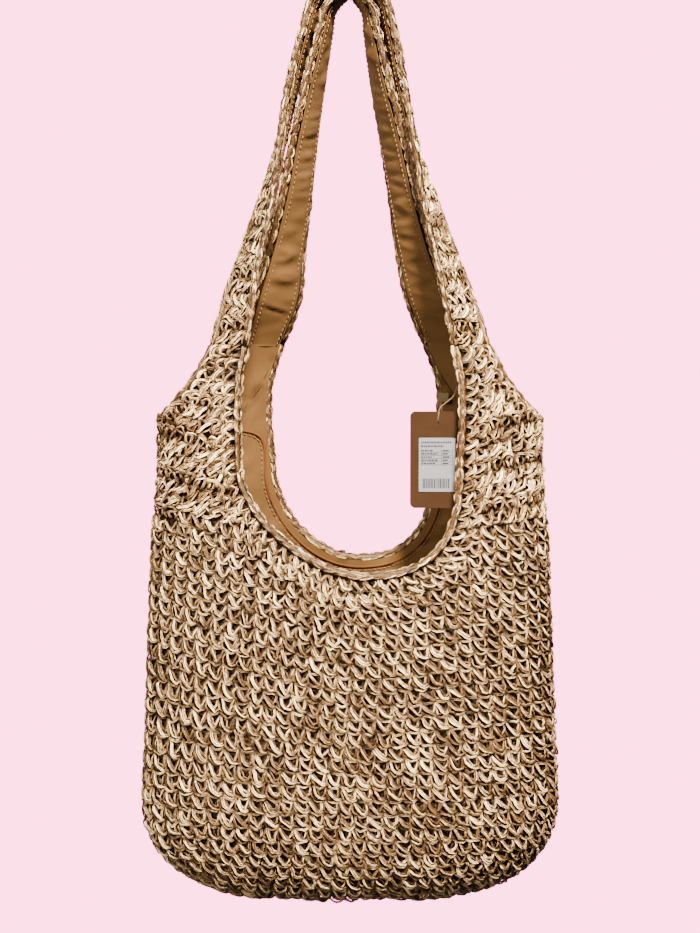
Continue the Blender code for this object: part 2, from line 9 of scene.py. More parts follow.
import bpy
import numpy as np
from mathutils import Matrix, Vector


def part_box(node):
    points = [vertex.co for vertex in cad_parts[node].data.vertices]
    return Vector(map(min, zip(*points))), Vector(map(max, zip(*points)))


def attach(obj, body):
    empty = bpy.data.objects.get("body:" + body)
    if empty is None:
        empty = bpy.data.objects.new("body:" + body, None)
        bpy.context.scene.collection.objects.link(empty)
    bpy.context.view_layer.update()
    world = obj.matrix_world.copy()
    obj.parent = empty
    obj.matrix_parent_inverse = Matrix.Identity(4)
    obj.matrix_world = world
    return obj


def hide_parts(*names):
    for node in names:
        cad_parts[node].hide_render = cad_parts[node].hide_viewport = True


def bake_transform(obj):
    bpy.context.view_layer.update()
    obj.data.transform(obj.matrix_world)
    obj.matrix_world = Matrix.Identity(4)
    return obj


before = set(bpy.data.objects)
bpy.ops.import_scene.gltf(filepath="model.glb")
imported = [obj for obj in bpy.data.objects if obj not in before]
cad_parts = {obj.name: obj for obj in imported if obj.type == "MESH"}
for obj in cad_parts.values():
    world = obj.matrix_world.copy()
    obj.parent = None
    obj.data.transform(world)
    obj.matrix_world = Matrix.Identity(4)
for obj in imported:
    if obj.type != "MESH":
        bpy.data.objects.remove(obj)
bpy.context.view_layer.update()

RANDOM = np.random.default_rng(11)

# The camera, at the height and distance that the bag is seen from.
CAMERA_DISTANCE = 1.9
CAMERA_ELEVATION = math.radians(4.5)
CAMERA_TARGET = (0.0, 0.0, -0.427)
CAMERA_LENS = 79.7

# How far from the fold the two linings grow alike.
LINING_JOIN = 0.040
LINING_STAND_OFF = 0.0045
CLOTH_THICKNESS = 0.0006

# Edges that bend more than this are shaded as sharp.
SHARP_ANGLE = math.radians(50)

# The stage: a plain pale pink, and how bright the room is.
BACKDROP = (1.0, 0.2227, 0.4722)
BACKDROP_STRENGTH = 8.78
ROOM_LIGHT = 0.28

# Each light: name, place, height it points at, size, power, colour, whether reflections show it.
LIGHTS = [
    ("key", (0.30, -1.6, 1.6), -0.45, 0.45, 960.0, (1.0, 0.95, 0.86), True),
    ("fill", (-1.5, -1.8, 0.4), -0.50, 1.0, 130.0, (1.0, 0.98, 0.95), True),
    ("rim_left", (-1.9, 1.8, 0.6), -0.50, 1.2, 150.0, (1.0, 0.98, 0.95), False),
    ("rim_right", (1.9, 1.8, 0.3), -0.50, 1.2, 110.0, (1.0, 0.98, 0.95), False),
]

# The tag's string: its route in the row frame, from the shoulder's edge to the tag's hole.
STRING_DIAMETER = 0.0014
TWINE_PITCH = 0.0042
PLY_OFFSET = 0.00034
PLY_RADIUS = 0.00038
TAG_CENTRE = (0.0795, -0.0240, -0.4190)
TAG_SIZE = (0.050, 0.0008, 0.088)
TAG_HOLE_Z = TAG_CENTRE[2] + TAG_SIZE[2] / 2 - 0.009
STRING_FRONT_Y = TAG_CENTRE[1] - TAG_SIZE[1] / 2 - STRING_DIAMETER / 2 - 0.0003
STRING_ROUTE = [
    (0.0925, -0.0290, -0.3290),
    (0.0965, -0.0280, -0.3370),
    (0.0975, -0.0270, -0.3480),
    (0.0935, -0.0260, -0.3610),
    (0.0815, (TAG_CENTRE[1] + STRING_FRONT_Y) / 2, -0.3720),
    (0.0800, STRING_FRONT_Y - 0.0003, TAG_HOLE_Z + 0.0050),
    (0.0795, STRING_FRONT_Y, TAG_HOLE_Z + 0.0005),
]

# The pouch's shape: heights, then half-widths and half-depths of its mid surface.
FOLD_Z = -0.315
BUMP_Z = -0.382
NECK_SPRING_Z = -0.428
CORNER_TOP_Z = -0.733
BASE_Z = -0.830
CROCHET_THICKNESS = 0.007
BOTTOM_Z = BASE_Z + CROCHET_THICKNESS / 2
BOTTOM_HALF_WIDTH = 0.062
BOTTOM_HALF_DEPTH = 0.008
BOTTOM_POWER = 2.3
SECTION_POWER = 2.5
SIDE_PROFILE = [
    (CORNER_TOP_Z, 0.1905), (-0.660, 0.1870), (-0.560, 0.1830), (-0.490, 0.1800),
    (-0.440, 0.1745), (BUMP_Z, 0.1735), (-0.366, 0.1605), (-0.347, 0.1455),
    (-0.329, 0.1355), (FOLD_Z, 0.1285),
]
DEPTH_PROFILE = [(CORNER_TOP_Z, 0.055), (-0.600, 0.053), (-0.450, 0.048), (FOLD_Z, 0.047)]

# Each panel's neckline and armholes, as (x, z) of the edging's centre line.
NECKS = {
    -1: {
        "left": [(-0.0943, FOLD_Z), (-0.1004, -0.346), (-0.1014, -0.380), (-0.1000, NECK_SPRING_Z)],
        "right": [(0.0943, FOLD_Z), (0.1004, -0.346), (0.1014, -0.380), (0.0985, NECK_SPRING_Z)],
        "low": (0.0095, -0.523),
        "power": (1.6, 2.6),
    },
    1: {
        "left": [(-0.0640, FOLD_Z), (-0.0750, -0.349), (-0.0770, -0.380), (-0.0730, NECK_SPRING_Z)],
        "right": [(0.0710, FOLD_Z), (0.0830, -0.349), (0.0850, -0.380), (0.0800, NECK_SPRING_Z)],
        "low": (0.0100, -0.5176),
        "power": (1.9, 2.4),
    },
}
ARMHOLES = {
    -1: [(0.1730, BUMP_Z), (0.1565, -0.366), (0.1410, -0.347), (0.1310, -0.329), (0.1240, FOLD_Z)],
    1: [(0.1730, BUMP_Z), (0.1520, -0.366), (0.1310, -0.347), (0.1150, -0.329), (0.1040, FOLD_Z)],
}

# A handle's plain border on each side.
HANDLE_BORDER = 0.00375

# Handle stations: height, near edge's distance from the middle and depth, far edge's distance
# and depth, and the sideways shift of both. The last row is the arch's top.
HANDLES = {
    "front": [
        (FOLD_Z, 0.0943, -0.0370, 0.1240, -0.0195, 0.0000),
        (-0.275, 0.0865, -0.0380, 0.1135, -0.0060, -0.0010),
        (-0.238, 0.0795, -0.0360, 0.1000, 0.0040, -0.0015),
        (-0.183, 0.0675, -0.0310, 0.0800, 0.0120, -0.0020),
        (-0.127, 0.0595, -0.0270, 0.0605, 0.0175, -0.0028),
        (-0.075, 0.0505, -0.0250, 0.0460, 0.0195, -0.0030),
        (-0.030, 0.0405, -0.0240, 0.0335, 0.0200, -0.0015),
        (0.000, 0.0300, -0.0240, 0.0250, 0.0200, -0.0010),
        (0.024, 0.0000, -0.0240, 0.0000, 0.0200, 0.0000),
    ],
    "back": [
        (FOLD_Z, 0.1040, 0.0335, 0.0675, 0.0430, 0.0035),
        (-0.275, 0.0920, 0.0150, 0.0515, 0.0340, 0.0030),
        (-0.238, 0.0785, 0.0080, 0.0455, 0.0310, 0.0010),
        (-0.183, 0.0628, -0.0045, 0.0385, 0.0280, 0.0000),
        (-0.127, 0.0502, -0.0115, 0.0310, 0.0260, -0.0012),
        (-0.075, 0.0370, -0.0170, 0.0235, 0.0250, -0.0020),
        (-0.030, 0.0255, -0.0190, 0.0180, 0.0250, -0.0015),
        (-0.012, 0.0205, -0.0190, 0.0160, 0.0250, -0.0010),
        (0.0048, 0.0000, -0.0190, 0.0000, 0.0250, 0.0000),
    ],
}

# The crochet's lattice.
STITCH_WIDTH = 0.0129
ROW_HEIGHT = 0.0124
# How far up from the bottom corners the rows go, and how far the stitches keep from the neckline.
ROWS_REACH = 0.46
NECK_MARGIN = 0.0208
BORDER_HEIGHT = 0.0112
# Above this height the rows are worked to and fro, not round and round.
FLAT_ROWS_Z = -0.470
FLAT_ROWS_PITCH = 0.84
CHAIN_LINK = 0.0112
CHAIN_WIDTH = 0.0070
CHAIN_JITTER = 0.085
CORE_DIAMETER = 0.0064
STRAND_SAMPLES = 8
STITCHES_PER_PIECE = 175

# A folded straw strip's cross-section. Each strand is two such strips side by side.
STRAND_SECTION = np.array([(-1.0, 0.0), (-0.45, 0.95), (0.50, 0.80), (1.0, 0.0), (0.0, -0.9)])
STRIP_SPREAD = 0.27
STRIP_SHARE = 0.60
STRAND_FULLNESS = 0.68
# A strand's random roll and its twist from end to end, in radians, and the grain's scale along it.
ROLL = 0.28
TWIST = 0.35
FIBRE_SCALE = 100

# Strands of one stitch: control points (across, up, height in mm), in cells from its middle,
# then width and thickness in mm, and how light it is.
OPEN_STITCH = [
    ([(-0.50, 0.52, -0.6), (-0.42, 0.32, 1.7), (-0.26, 0.04, 3.0), (-0.06, -0.22, 3.5),
      (0.18, -0.38, 2.9), (0.42, -0.38, 1.4), (0.58, -0.26, -0.4)], 3.5, 1.6, 0.76),
    ([(-0.36, 0.58, -1.4), (-0.27, 0.34, 0.9), (-0.10, 0.06, 2.0), (0.10, -0.14, 2.3),
      (0.30, -0.22, 1.4), (0.48, -0.16, -0.4)], 2.5, 1.3, 0.48),
    ([(0.44, 0.56, -1.0), (0.41, 0.32, 1.5), (0.37, 0.04, 2.5), (0.30, -0.18, 2.3),
      (0.16, -0.36, 1.3), (-0.06, -0.42, -0.2)], 2.7, 1.4, 0.62),
    ([(0.28, 0.60, -2.0), (0.25, 0.30, -0.4), (0.22, 0.04, 0.6), (0.14, -0.16, 0.6),
      (0.00, -0.30, -0.4)], 2.0, 1.2, 0.30),
    ([(-0.56, -0.30, -0.8), (-0.36, -0.46, 1.3), (-0.12, -0.56, 2.3), (0.14, -0.58, 2.5),
      (0.38, -0.52, 1.5), (0.56, -0.38, -0.6)], 2.8, 1.4, 0.60),
    ([(-0.62, 0.34, -0.8), (-0.52, 0.10, 1.4), (-0.52, -0.14, 1.9), (-0.36, -0.34, 1.7),
      (-0.14, -0.46, 0.2)], 2.3, 1.3, 0.50),
    ([(-0.46, 0.06, -1.8), (-0.12, 0.20, -1.2), (0.20, 0.16, -1.3), (0.50, 0.02, -1.8)],
     2.6, 1.2, 0.22),
]
FLAT_STITCH = [
    ([(0.62, 0.64, -0.6), (0.46, 0.34, 1.9), (0.22, 0.04, 3.1), (-0.04, -0.24, 3.4),
      (-0.32, -0.42, 2.6), (-0.62, -0.48, 0.0)], 3.6, 1.6, 0.76),
    ([(0.30, 0.66, -0.8), (0.18, 0.34, 1.7), (-0.06, 0.04, 2.7), (-0.30, -0.20, 2.6),
      (-0.56, -0.36, 0.2)], 3.2, 1.5, 0.60),
    ([(-0.46, 0.66, -0.8), (-0.44, 0.30, 1.8), (-0.30, -0.02, 2.3), (-0.06, -0.34, 2.2),
      (0.26, -0.54, 0.2)], 3.0, 1.5, 0.56),
    ([(0.58, 0.20, -0.6), (0.42, -0.12, 1.7), (0.16, -0.40, 2.5), (-0.14, -0.62, 1.4),
      (-0.40, -0.70, -0.4)], 3.0, 1.5, 0.66),
    ([(-0.60, 0.16, -0.4), (-0.22, 0.34, 1.4), (0.18, 0.36, 1.6), (0.60, 0.18, -0.2)],
     3.0, 1.5, 0.46),
]
POST_STITCH = [
    ([(-0.64, 0.10, -0.4), (-0.36, 0.36, 2.3), (0.00, 0.46, 3.4), (0.35, 0.34, 2.7),
      (0.62, 0.06, 0.2)], 3.1, 1.7, 0.74),
    ([(-0.58, -0.08, -0.6), (-0.30, 0.16, 2.0), (0.02, 0.24, 2.9), (0.33, 0.12, 2.1),
      (0.56, -0.12, -0.2)], 2.8, 1.6, 0.60),
    ([(-0.20, 0.26, 0.8), (-0.25, 0.00, 2.3), (-0.20, -0.30, 2.3), (-0.08, -0.62, -0.2)],
     2.8, 1.5, 0.62),
    ([(0.16, 0.26, 0.6), (0.26, 0.00, 2.2), (0.20, -0.30, 2.0), (0.10, -0.62, -0.4)],
     2.8, 1.5, 0.56),
    ([(-0.56, -0.52, -0.6), (-0.42, -0.22, 1.2), (-0.44, 0.10, 1.2), (-0.56, 0.36, -0.6)],
     2.4, 1.4, 0.45),
]
# Strands of one chain link: (along, across, height in mm), in links and chain widths.
CHAIN_STITCH = [
    ([(-0.86, 0.04, -0.4), (-0.42, -0.26, 1.5), (0.06, -0.36, 2.2), (0.50, -0.16, 2.0),
      (0.92, 0.14, 0.0)], 2.9, 1.6, 0.62),
    ([(-0.70, 0.20, 0.2), (-0.26, -0.04, 1.9), (0.16, -0.12, 2.5), (0.54, 0.06, 1.7),
      (0.84, 0.26, 0.0)], 2.4, 1.4, 0.44),
    ([(-0.84, -0.08, -0.6), (-0.36, 0.20, 1.3), (0.12, 0.36, 2.0), (0.56, 0.18, 2.2),
      (0.94, -0.10, 0.8)], 2.9, 1.6, 0.56),
    ([(-0.66, -0.20, -0.4), (-0.20, 0.02, 1.7), (0.22, 0.10, 2.3), (0.58, -0.04, 1.9),
      (0.88, -0.22, 0.4)], 2.4, 1.4, 0.38),
]
STITCH_KINDS = {0: OPEN_STITCH, 1: POST_STITCH, 2: CHAIN_STITCH, 3: FLAT_STITCH}
MM = 0.001


# Curves.


def lengths_along(path):
    """The distance along a path at each of its points."""
    return np.concatenate([[0.0], np.linalg.norm(np.diff(path, axis=0), axis=1).cumsum()])


def pick(places, along, table):
    """The rows of a table at places along its path."""
    return np.stack([np.interp(places, along, column) for column in table.T], axis=-1)


def resample(points, steps):
    """The same line as evenly spaced points, steps + 1 of them."""
    points = np.asarray(points, float)
    along = lengths_along(points)
    return pick(np.linspace(0.0, along[-1], steps + 1), along, points)


def smooth_curve(points, steps):
    """A centripetal Catmull-Rom curve through the points, resampled evenly."""
    points = np.asarray(points, float)
    padded = np.vstack([2 * points[0] - points[1], points, 2 * points[-1] - points[-2]])
    knots = np.sqrt(np.linalg.norm(np.diff(padded, axis=0), axis=1)).cumsum()
    knots = np.concatenate([[0.0], knots])
    dense = []
    for index in range(1, len(padded) - 2):
        p0, p1, p2, p3 = padded[index - 1 : index + 3]
        t0, t1, t2, t3 = knots[index - 1 : index + 3]
        for t in np.linspace(t1, t2, 16, endpoint=False):
            a1 = (t1 - t) / (t1 - t0) * p0 + (t - t0) / (t1 - t0) * p1
            a2 = (t2 - t) / (t2 - t1) * p1 + (t - t1) / (t2 - t1) * p2
            a3 = (t3 - t) / (t3 - t2) * p2 + (t - t2) / (t3 - t2) * p3
            b1 = (t2 - t) / (t2 - t0) * a1 + (t - t0) / (t2 - t0) * a2
            b2 = (t3 - t) / (t3 - t1) * a2 + (t - t1) / (t3 - t1) * a3
            dense.append((t2 - t) / (t2 - t1) * b1 + (t - t1) / (t2 - t1) * b2)
    dense.append(points[-1])
    return resample(np.array(dense), steps)


def unit(vectors):
    return vectors / np.maximum(np.linalg.norm(vectors, axis=-1, keepdims=True), 1e-9)


def spline_basis(count, samples):
    """The matrix that turns count control points into samples along a smooth curve."""
    basis = np.zeros((samples, count))
    for row, place in enumerate(np.linspace(0, count - 1, samples)):
        start = min(int(place), count - 2)
        t = place - start
        weights = (
            -0.5 * t + t**2 - 0.5 * t**3,
            1 - 2.5 * t**2 + 1.5 * t**3,
            0.5 * t + 2 * t**2 - 1.5 * t**3,
            -0.5 * t**2 + 0.5 * t**3,
        )
        for step, weight in zip((-1, 0, 1, 2), weights):
            column = start + step
            if column < 0:
                basis[row, 0] += 2 * weight
                basis[row, 1] -= weight
            elif column > count - 1:
                basis[row, count - 1] += 2 * weight
                basis[row, count - 2] -= weight
            else:
                basis[row, column] += weight
    return basis


# The pouch's surface.


def profile_table():
    """Heights, half-widths and half-depths, smoothed above the rounded bottom."""
    heights = np.linspace(BOTTOM_Z, FOLD_Z, 1600)
    drop = np.clip((CORNER_TOP_Z - heights) / (CORNER_TOP_Z - BOTTOM_Z), 0, 1)
    curve = (1.0 - drop**BOTTOM_POWER) ** (1.0 / BOTTOM_POWER)
    tables = []
    for profile, low in ((SIDE_PROFILE, BOTTOM_HALF_WIDTH), (DEPTH_PROFILE, BOTTOM_HALF_DEPTH)):
        z, value = zip(*profile)
        upper = np.interp(heights, z, value)
        lower = low + (value[0] - low) * curve
        raw = np.where(heights < CORNER_TOP_Z, lower, upper)
        window = np.hanning(31)
        padded = np.pad(raw, 15, mode="edge")
        smoothed = np.convolve(padded, window / window.sum(), mode="valid")
        share = np.clip((heights - CORNER_TOP_Z + 0.02) / 0.02, 0, 1)
        tables.append(raw + share * (smoothed - raw))
    return heights, tables[0], tables[1]


TABLE_Z, TABLE_WIDTH, TABLE_DEPTH = profile_table()
WIDTH_SLOPE = np.clip(np.gradient(TABLE_WIDTH, TABLE_Z), -8, 8)
DEPTH_SLOPE = np.clip(np.gradient(TABLE_DEPTH, TABLE_Z), -8, 8)


def on_pouch(theta, z, side, offset=0.0):
    """Points and outward normals. theta is pi at the left seam and 0 at the right one."""
    theta, z = np.broadcast_arrays(np.asarray(theta, float), np.asarray(z, float))
    half_width = np.interp(z, TABLE_Z, TABLE_WIDTH)
    half_depth = np.interp(z, TABLE_Z, TABLE_DEPTH)
    cosine = np.cos(theta)
    across = np.sign(cosine) * np.abs(cosine) ** (2 / SECTION_POWER)
    deep = np.maximum(0.0, np.sin(theta)) ** (2 / SECTION_POWER)
    power = SECTION_POWER
    wider = np.interp(z, TABLE_Z, WIDTH_SLOPE)
    deeper = np.interp(z, TABLE_Z, DEPTH_SLOPE)
    normal = np.stack(
        [
            np.sign(across) * np.abs(across) ** (power - 1) / half_width,
            side * deep ** (power - 1) / half_depth,
            -(np.abs(across) ** power * wider / half_width + deep**power * deeper / half_depth),
        ],
        axis=-1,
    )
    normal = unit(normal)
    point = np.stack([half_width * across, side * half_depth * deep, z], axis=-1)
    sag = 0.0014 * np.sin(point[..., 0] * 41 + 9 * z + side) * np.sin(z * 17 + 1.3)
    sag = sag + 0.0011 * np.sin(point[..., 0] * 73 - 21 * z + 2 * side)
    return point + (offset + sag * deep)[..., None] * normal, normal


def theta_of(x, z):
    ratio = np.clip(x / np.interp(z, TABLE_Z, TABLE_WIDTH), -1, 1)
    return np.arccos(np.sign(ratio) * np.abs(ratio) ** (SECTION_POWER / 2))


def bowl(neck, steps=160):
    low_x, low_z = neck["low"]
    left_x, right_x = neck["left"][-1][0], neck["right"][-1][0]
    points = []
    for angle in np.linspace(0.0, math.pi, steps + 1):
        radius, power = (low_x - left_x, neck["power"][0])
        if angle > math.pi / 2:
            radius, power = (right_x - low_x, neck["power"][1])
        across = math.copysign(abs(math.cos(angle)) ** (2 / power), math.cos(angle))
        down = math.sin(angle) ** (2 / power)
        points.append((low_x - radius * across, NECK_SPRING_Z + (low_z - NECK_SPRING_Z) * down))
    return np.array(points)


def neck_line(side):
    """The neckline from the left fold down round to the right fold, as (x, z)."""
    neck = NECKS[side]
    line = smooth_curve(np.vstack([neck["left"][:-1], bowl(neck), neck["right"][-2::-1]]), 320)
    for _ in range(6):
        line[1:-1] = (line[:-2] + 2 * line[1:-1] + line[2:]) / 4
    return line


def offset_line(line, distance):
    """A flat line moved to the right of its direction, which is away from the mouth."""
    tangent = unit(np.gradient(line, axis=0))
    return line + distance * np.stack([tangent[:, 1], -tangent[:, 0]], axis=1)


def armhole_x(side, z):
    x, height = zip(*ARMHOLES[side])
    return np.interp(z, height, x)


def distance_to(line, x, z):
    points = np.stack([np.asarray(x), np.asarray(z)], axis=-1)
    gaps = np.linalg.norm(points[:, None, :] - line[None, :, :], axis=-1)
    return gaps.min(axis=1)


def inside_mouth(line, x, z):
    """True where (x, z) lies above the neckline and between its sides."""
    low = int(np.argmin(line[:, 1]))
    left, right = line[: low + 1], line[low:]
    left_x = np.interp(z, left[::-1, 1], left[::-1, 0])
    right_x = np.interp(z, right[:, 1], right[:, 0])
    return (z > line[low, 1]) & (x > left_x) & (x < right_x)


NECK_LINES = {side: neck_line(side) for side in (-1, 1)}


# Meshes.


def new_object(name, mesh, material, smooth=True):
    if smooth:
        mesh.shade_smooth()
    mesh.materials.append(material)
    built = bpy.data.objects.new(name, mesh)
    bpy.context.scene.collection.objects.link(built)
    return built


def new_solid(name, points, faces, material, smooth=True):
    """A closed solid whose faces are turned outwards."""
    mesh = bpy.data.meshes.new(name)
    mesh.from_pydata([tuple(point) for point in points], [], faces)
    mesh.validate()
    mesh.update()
    mesh.calc_loop_triangles()
    total = 0.0
    for triangle in mesh.loop_triangles:
        a, b, c = (mesh.vertices[index].co for index in triangle.vertices)
        total += a.dot(b.cross(c))
    if total < 0:
        mesh.flip_normals()
    mesh.set_sharp_from_angle(angle=SHARP_ANGLE)
    return new_object(name, mesh, material, smooth)


def place_on(body, slot, node, *pieces):
    """Lets finished pieces ride a body and hides the node they replace. The slot argument is not
    used.
    """
    for piece in pieces:
        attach(piece, body)
        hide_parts(node)


def round_section(sides, flat=1.0):
    """A circle's corners, flattened in its second direction if flat is below 1."""
    angles = np.linspace(0, 2 * math.pi, sides, endpoint=False)[::-1]
    return np.stack([np.cos(angles), flat * np.sin(angles)], axis=1)


def capped_rings(rings, sides, start=0):
    """The faces of a tube of rings of points, with a cap on each end."""
    faces = []
    for ring in range(rings - 1):
        for side in range(sides):
            here = start + ring * sides + side
            there = start + ring * sides + (side + 1) % sides
            faces.append((here, there, there + sides, here + sides))
    last = start + (rings - 1) * sides
    caps = [tuple(range(start + sides - 1, start - 1, -1)), tuple(range(last, last + sides))]
    return faces + caps


def sheet_solid(outer, inner):
    """Points and faces of the thin solid between two open grids."""
    rows, columns = outer.shape[:2]
    points = np.concatenate([outer.reshape(-1, 3), inner.reshape(-1, 3)])
    size = rows * columns
    faces = []
    for row in range(rows - 1):
        for column in range(columns - 1):
            a = row * columns + column
            b, c, d = a + 1, a + columns + 1, a + columns
            faces.append((a, b, c, d))
            faces.append((d + size, c + size, b + size, a + size))
    border = list(range(columns))
    border += [row * columns + columns - 1 for row in range(1, rows)]
    border += [(rows - 1) * columns + column for column in range(columns - 2, -1, -1)]
    border += [row * columns for row in range(rows - 2, 0, -1)]
    for here, there in zip(border, border[1:] + border[:1]):
        faces.append((there, here, here + size, there + size))
    return points, faces


class Strands:
    """Gathers strands as arrays and builds them into one mesh."""

    def __init__(self):
        self.paths, self.normals, self.sizes, self.tones, self.depths = [], [], [], [], []

    def add(self, paths, normals, widths, thicknesses, tones, depths):
        self.paths.append(paths)
        self.normals.append(np.broadcast_to(normals, paths.shape))
        self.sizes.append(np.stack([widths, thicknesses], axis=1))
        self.tones.append(tones)
        self.depths.append(depths)

    def build(self, name, material, section=STRAND_SECTION, taper=0.48):
        paths, normals, sizes, tones, depths = (
            np.concatenate(parts)
            for parts in (self.paths, self.normals, self.sizes, self.tones, self.depths)
        )
        count, samples = paths.shape[:2]
        sides = len(section)
        tangent = unit(np.gradient(paths, axis=1))
        across = unit(np.cross(normals, tangent))
        up = np.cross(tangent, across)
        share = np.linspace(-1, 1, samples)
        roll = RANDOM.normal(0, ROLL, (count, 1)) + RANDOM.normal(0, TWIST, (count, 1)) * share
        turned = np.cos(roll)[..., None] * across + np.sin(roll)[..., None] * up
        raised = -np.sin(roll)[..., None] * across + np.cos(roll)[..., None] * up
        swell = taper + (1 - taper) * (1 - share**4)
        half = sizes[:, None, :] / 2 * swell[None, :, None]
        wide, thick = section[:, 0], section[:, 1]
        points = (
            paths[:, :, None, :]
            + (half[:, :, 0:1] * wide)[..., None] * turned[:, :, None, :]
            + (half[:, :, 1:2] * thick)[..., None] * raised[:, :, None, :]
        )
        ring = np.arange(sides)
        first_ring = np.arange(count)[:, None] * samples
        base = (first_ring[:, :, None] + np.arange(samples - 1)[None, :, None]) * sides
        here, turn = base + ring, base + (ring + 1) % sides
        quads = np.stack([here, turn, turn + sides, here + sides], axis=-1)
        starts = first_ring * sides + ring[::-1]
        ends = (first_ring + samples - 1) * sides + ring
        loops = np.concatenate([quads.ravel(), starts.ravel(), ends.ravel()])
        corners = [4] * (quads.size // 4) + [sides] * (2 * count)
        mesh = bpy.data.meshes.new(name)
        mesh.vertices.add(points.size // 3)
        mesh.vertices.foreach_set("co", points.reshape(-1).astype(np.float32))
        mesh.loops.add(len(loops))
        mesh.loops.foreach_set("vertex_index", loops.astype(np.int32))
        mesh.polygons.add(len(corners))
        first = np.concatenate([[0], np.cumsum(corners)[:-1]])
        mesh.polygons.foreach_set("loop_start", first.astype(np.int32))
        mesh.update(calc_edges=True)
        lengths = np.linalg.norm(np.diff(paths, axis=1), axis=-1).cumsum(axis=1)
        lengths = np.concatenate([np.zeros((count, 1)), lengths], axis=1)
        fibre = np.zeros((count, samples, sides, 3))
        fibre[..., 0] = lengths[:, :, None] * FIBRE_SCALE
        fibre[..., 1] = np.abs(wide)[None, None, :] + 0.3 * wide
        fibre[..., 2] = RANDOM.uniform(0, 50, (count, 1, 1))
        # The shade attribute holds each strand's tone, how low it lies (which the straw material
        # turns into painted shade), and a random number.
        shade = np.zeros((count, samples, sides, 3))
        shade[..., 0] = tones[:, None, None]
        shade[..., 1] = depths[:, :, None]
        shade[..., 2] = RANDOM.uniform(0, 1, (count, 1, 1))
        for label, values in (("fibre", fibre), ("shade", shade)):
            attribute = mesh.attributes.new(label, "FLOAT_VECTOR", "POINT")
            attribute.data.foreach_set("vector", values.reshape(-1).astype(np.float32))
        return new_object(name, mesh, material)


class Stitches:
    """A list of stitch places: middle, directions across, up and out, and cell size."""

    def __init__(self):
        self.rows = []

    def add(self, centres, across, up, out, width, height, kind, jitter):
        ones = np.ones(len(centres))
        self.rows.append(np.column_stack([centres, across, up, out, width * ones, height * ones,
                                          kind * ones, jitter * ones]))

    def build(self, name):
        """Builds the stitches, low ones first, as pieces small enough to export whole."""
        cells = np.concatenate(self.rows)
        cells = cells[np.argsort(cells[:, 2], kind="stable")]
        chunks = max(1, math.ceil(len(cells) / STITCHES_PER_PIECE))
        built = []
        for index, chunk in enumerate(np.array_split(cells, chunks)):
            strands = Strands()
            for kind, pattern in STITCH_KINDS.items():
                lay_stitches(strands, chunk[chunk[:, 14] == kind], pattern)
            built.append(strands.build(f"{name}_{index + 1}", STRAW))
        return built


def lay_stitches(strands, cells, pattern):
    """Adds a pattern's strands, two strips each, to every cell."""
    count = len(cells)
    if not count:
        return
    centre, across, up, out = (cells[:, start : start + 3, None].swapaxes(1, 2)
                               for start in (0, 3, 6, 9))
    width, height, jitter = (cells[:, column, None] for column in (12, 13, 15))
    lean = RANDOM.normal(0, 1, count)[:, None, None] * jitter[..., None] * 1.3
    tilted, upright = unit(across + lean * up), unit(up - lean * across)
    tone_shift = RANDOM.normal(0, 0.10, count)
    size_shift = RANDOM.normal(1, 0.05, count)
    share = np.linspace(-1, 1, STRAND_SAMPLES)
    for control, strand_width, strand_thickness, tone in pattern:
        control = np.array(control)
        shape = (count, len(control), 3)
        points = np.broadcast_to(control, shape) + RANDOM.normal(0, 1, shape) * (
            jitter[..., None] * np.array([0.7, 0.7, 5.0])
        )
        paths = (
            centre
            + (points[..., 0] * width)[..., None] * tilted
            + (points[..., 1] * height)[..., None] * upright
            + (points[..., 2] * MM)[..., None] * out
        )
        basis = spline_basis(len(control), STRAND_SAMPLES)
        paths = np.einsum("sc,ncd->nsd", basis, paths)
        levels = np.einsum("sc,nc->ns", basis, points[..., 2])
        # How low each point of a strand lies, which the straw material turns into painted shade.
        depths = np.clip((levels + 0.8) / 4.0, 0, 1)
        widths = strand_width * MM * STRAND_FULLNESS * size_shift * RANDOM.normal(1, 0.13, count)
        sideways = unit(np.cross(out, np.gradient(paths, axis=1)))
        for strip in (-1, 1):
            wander = RANDOM.normal(0, 0.06, (count, 1)) + RANDOM.normal(0, 0.08, (count, 1)) * share
            spread = (strip * STRIP_SPREAD + wander) * widths[:, None]
            drop = RANDOM.normal(0, 0.00028, (count, 1))
            moved = paths + spread[..., None] * sideways + drop[..., None] * out
            thick = strand_thickness * MM * RANDOM.normal(0.92, 0.10, count)
            tones = np.clip(tone + tone_shift + RANDOM.normal(0, 0.16, count), 0, 1)
            strands.add(moved, out, widths * STRIP_SHARE, thick, tones, depths)


# Materials.


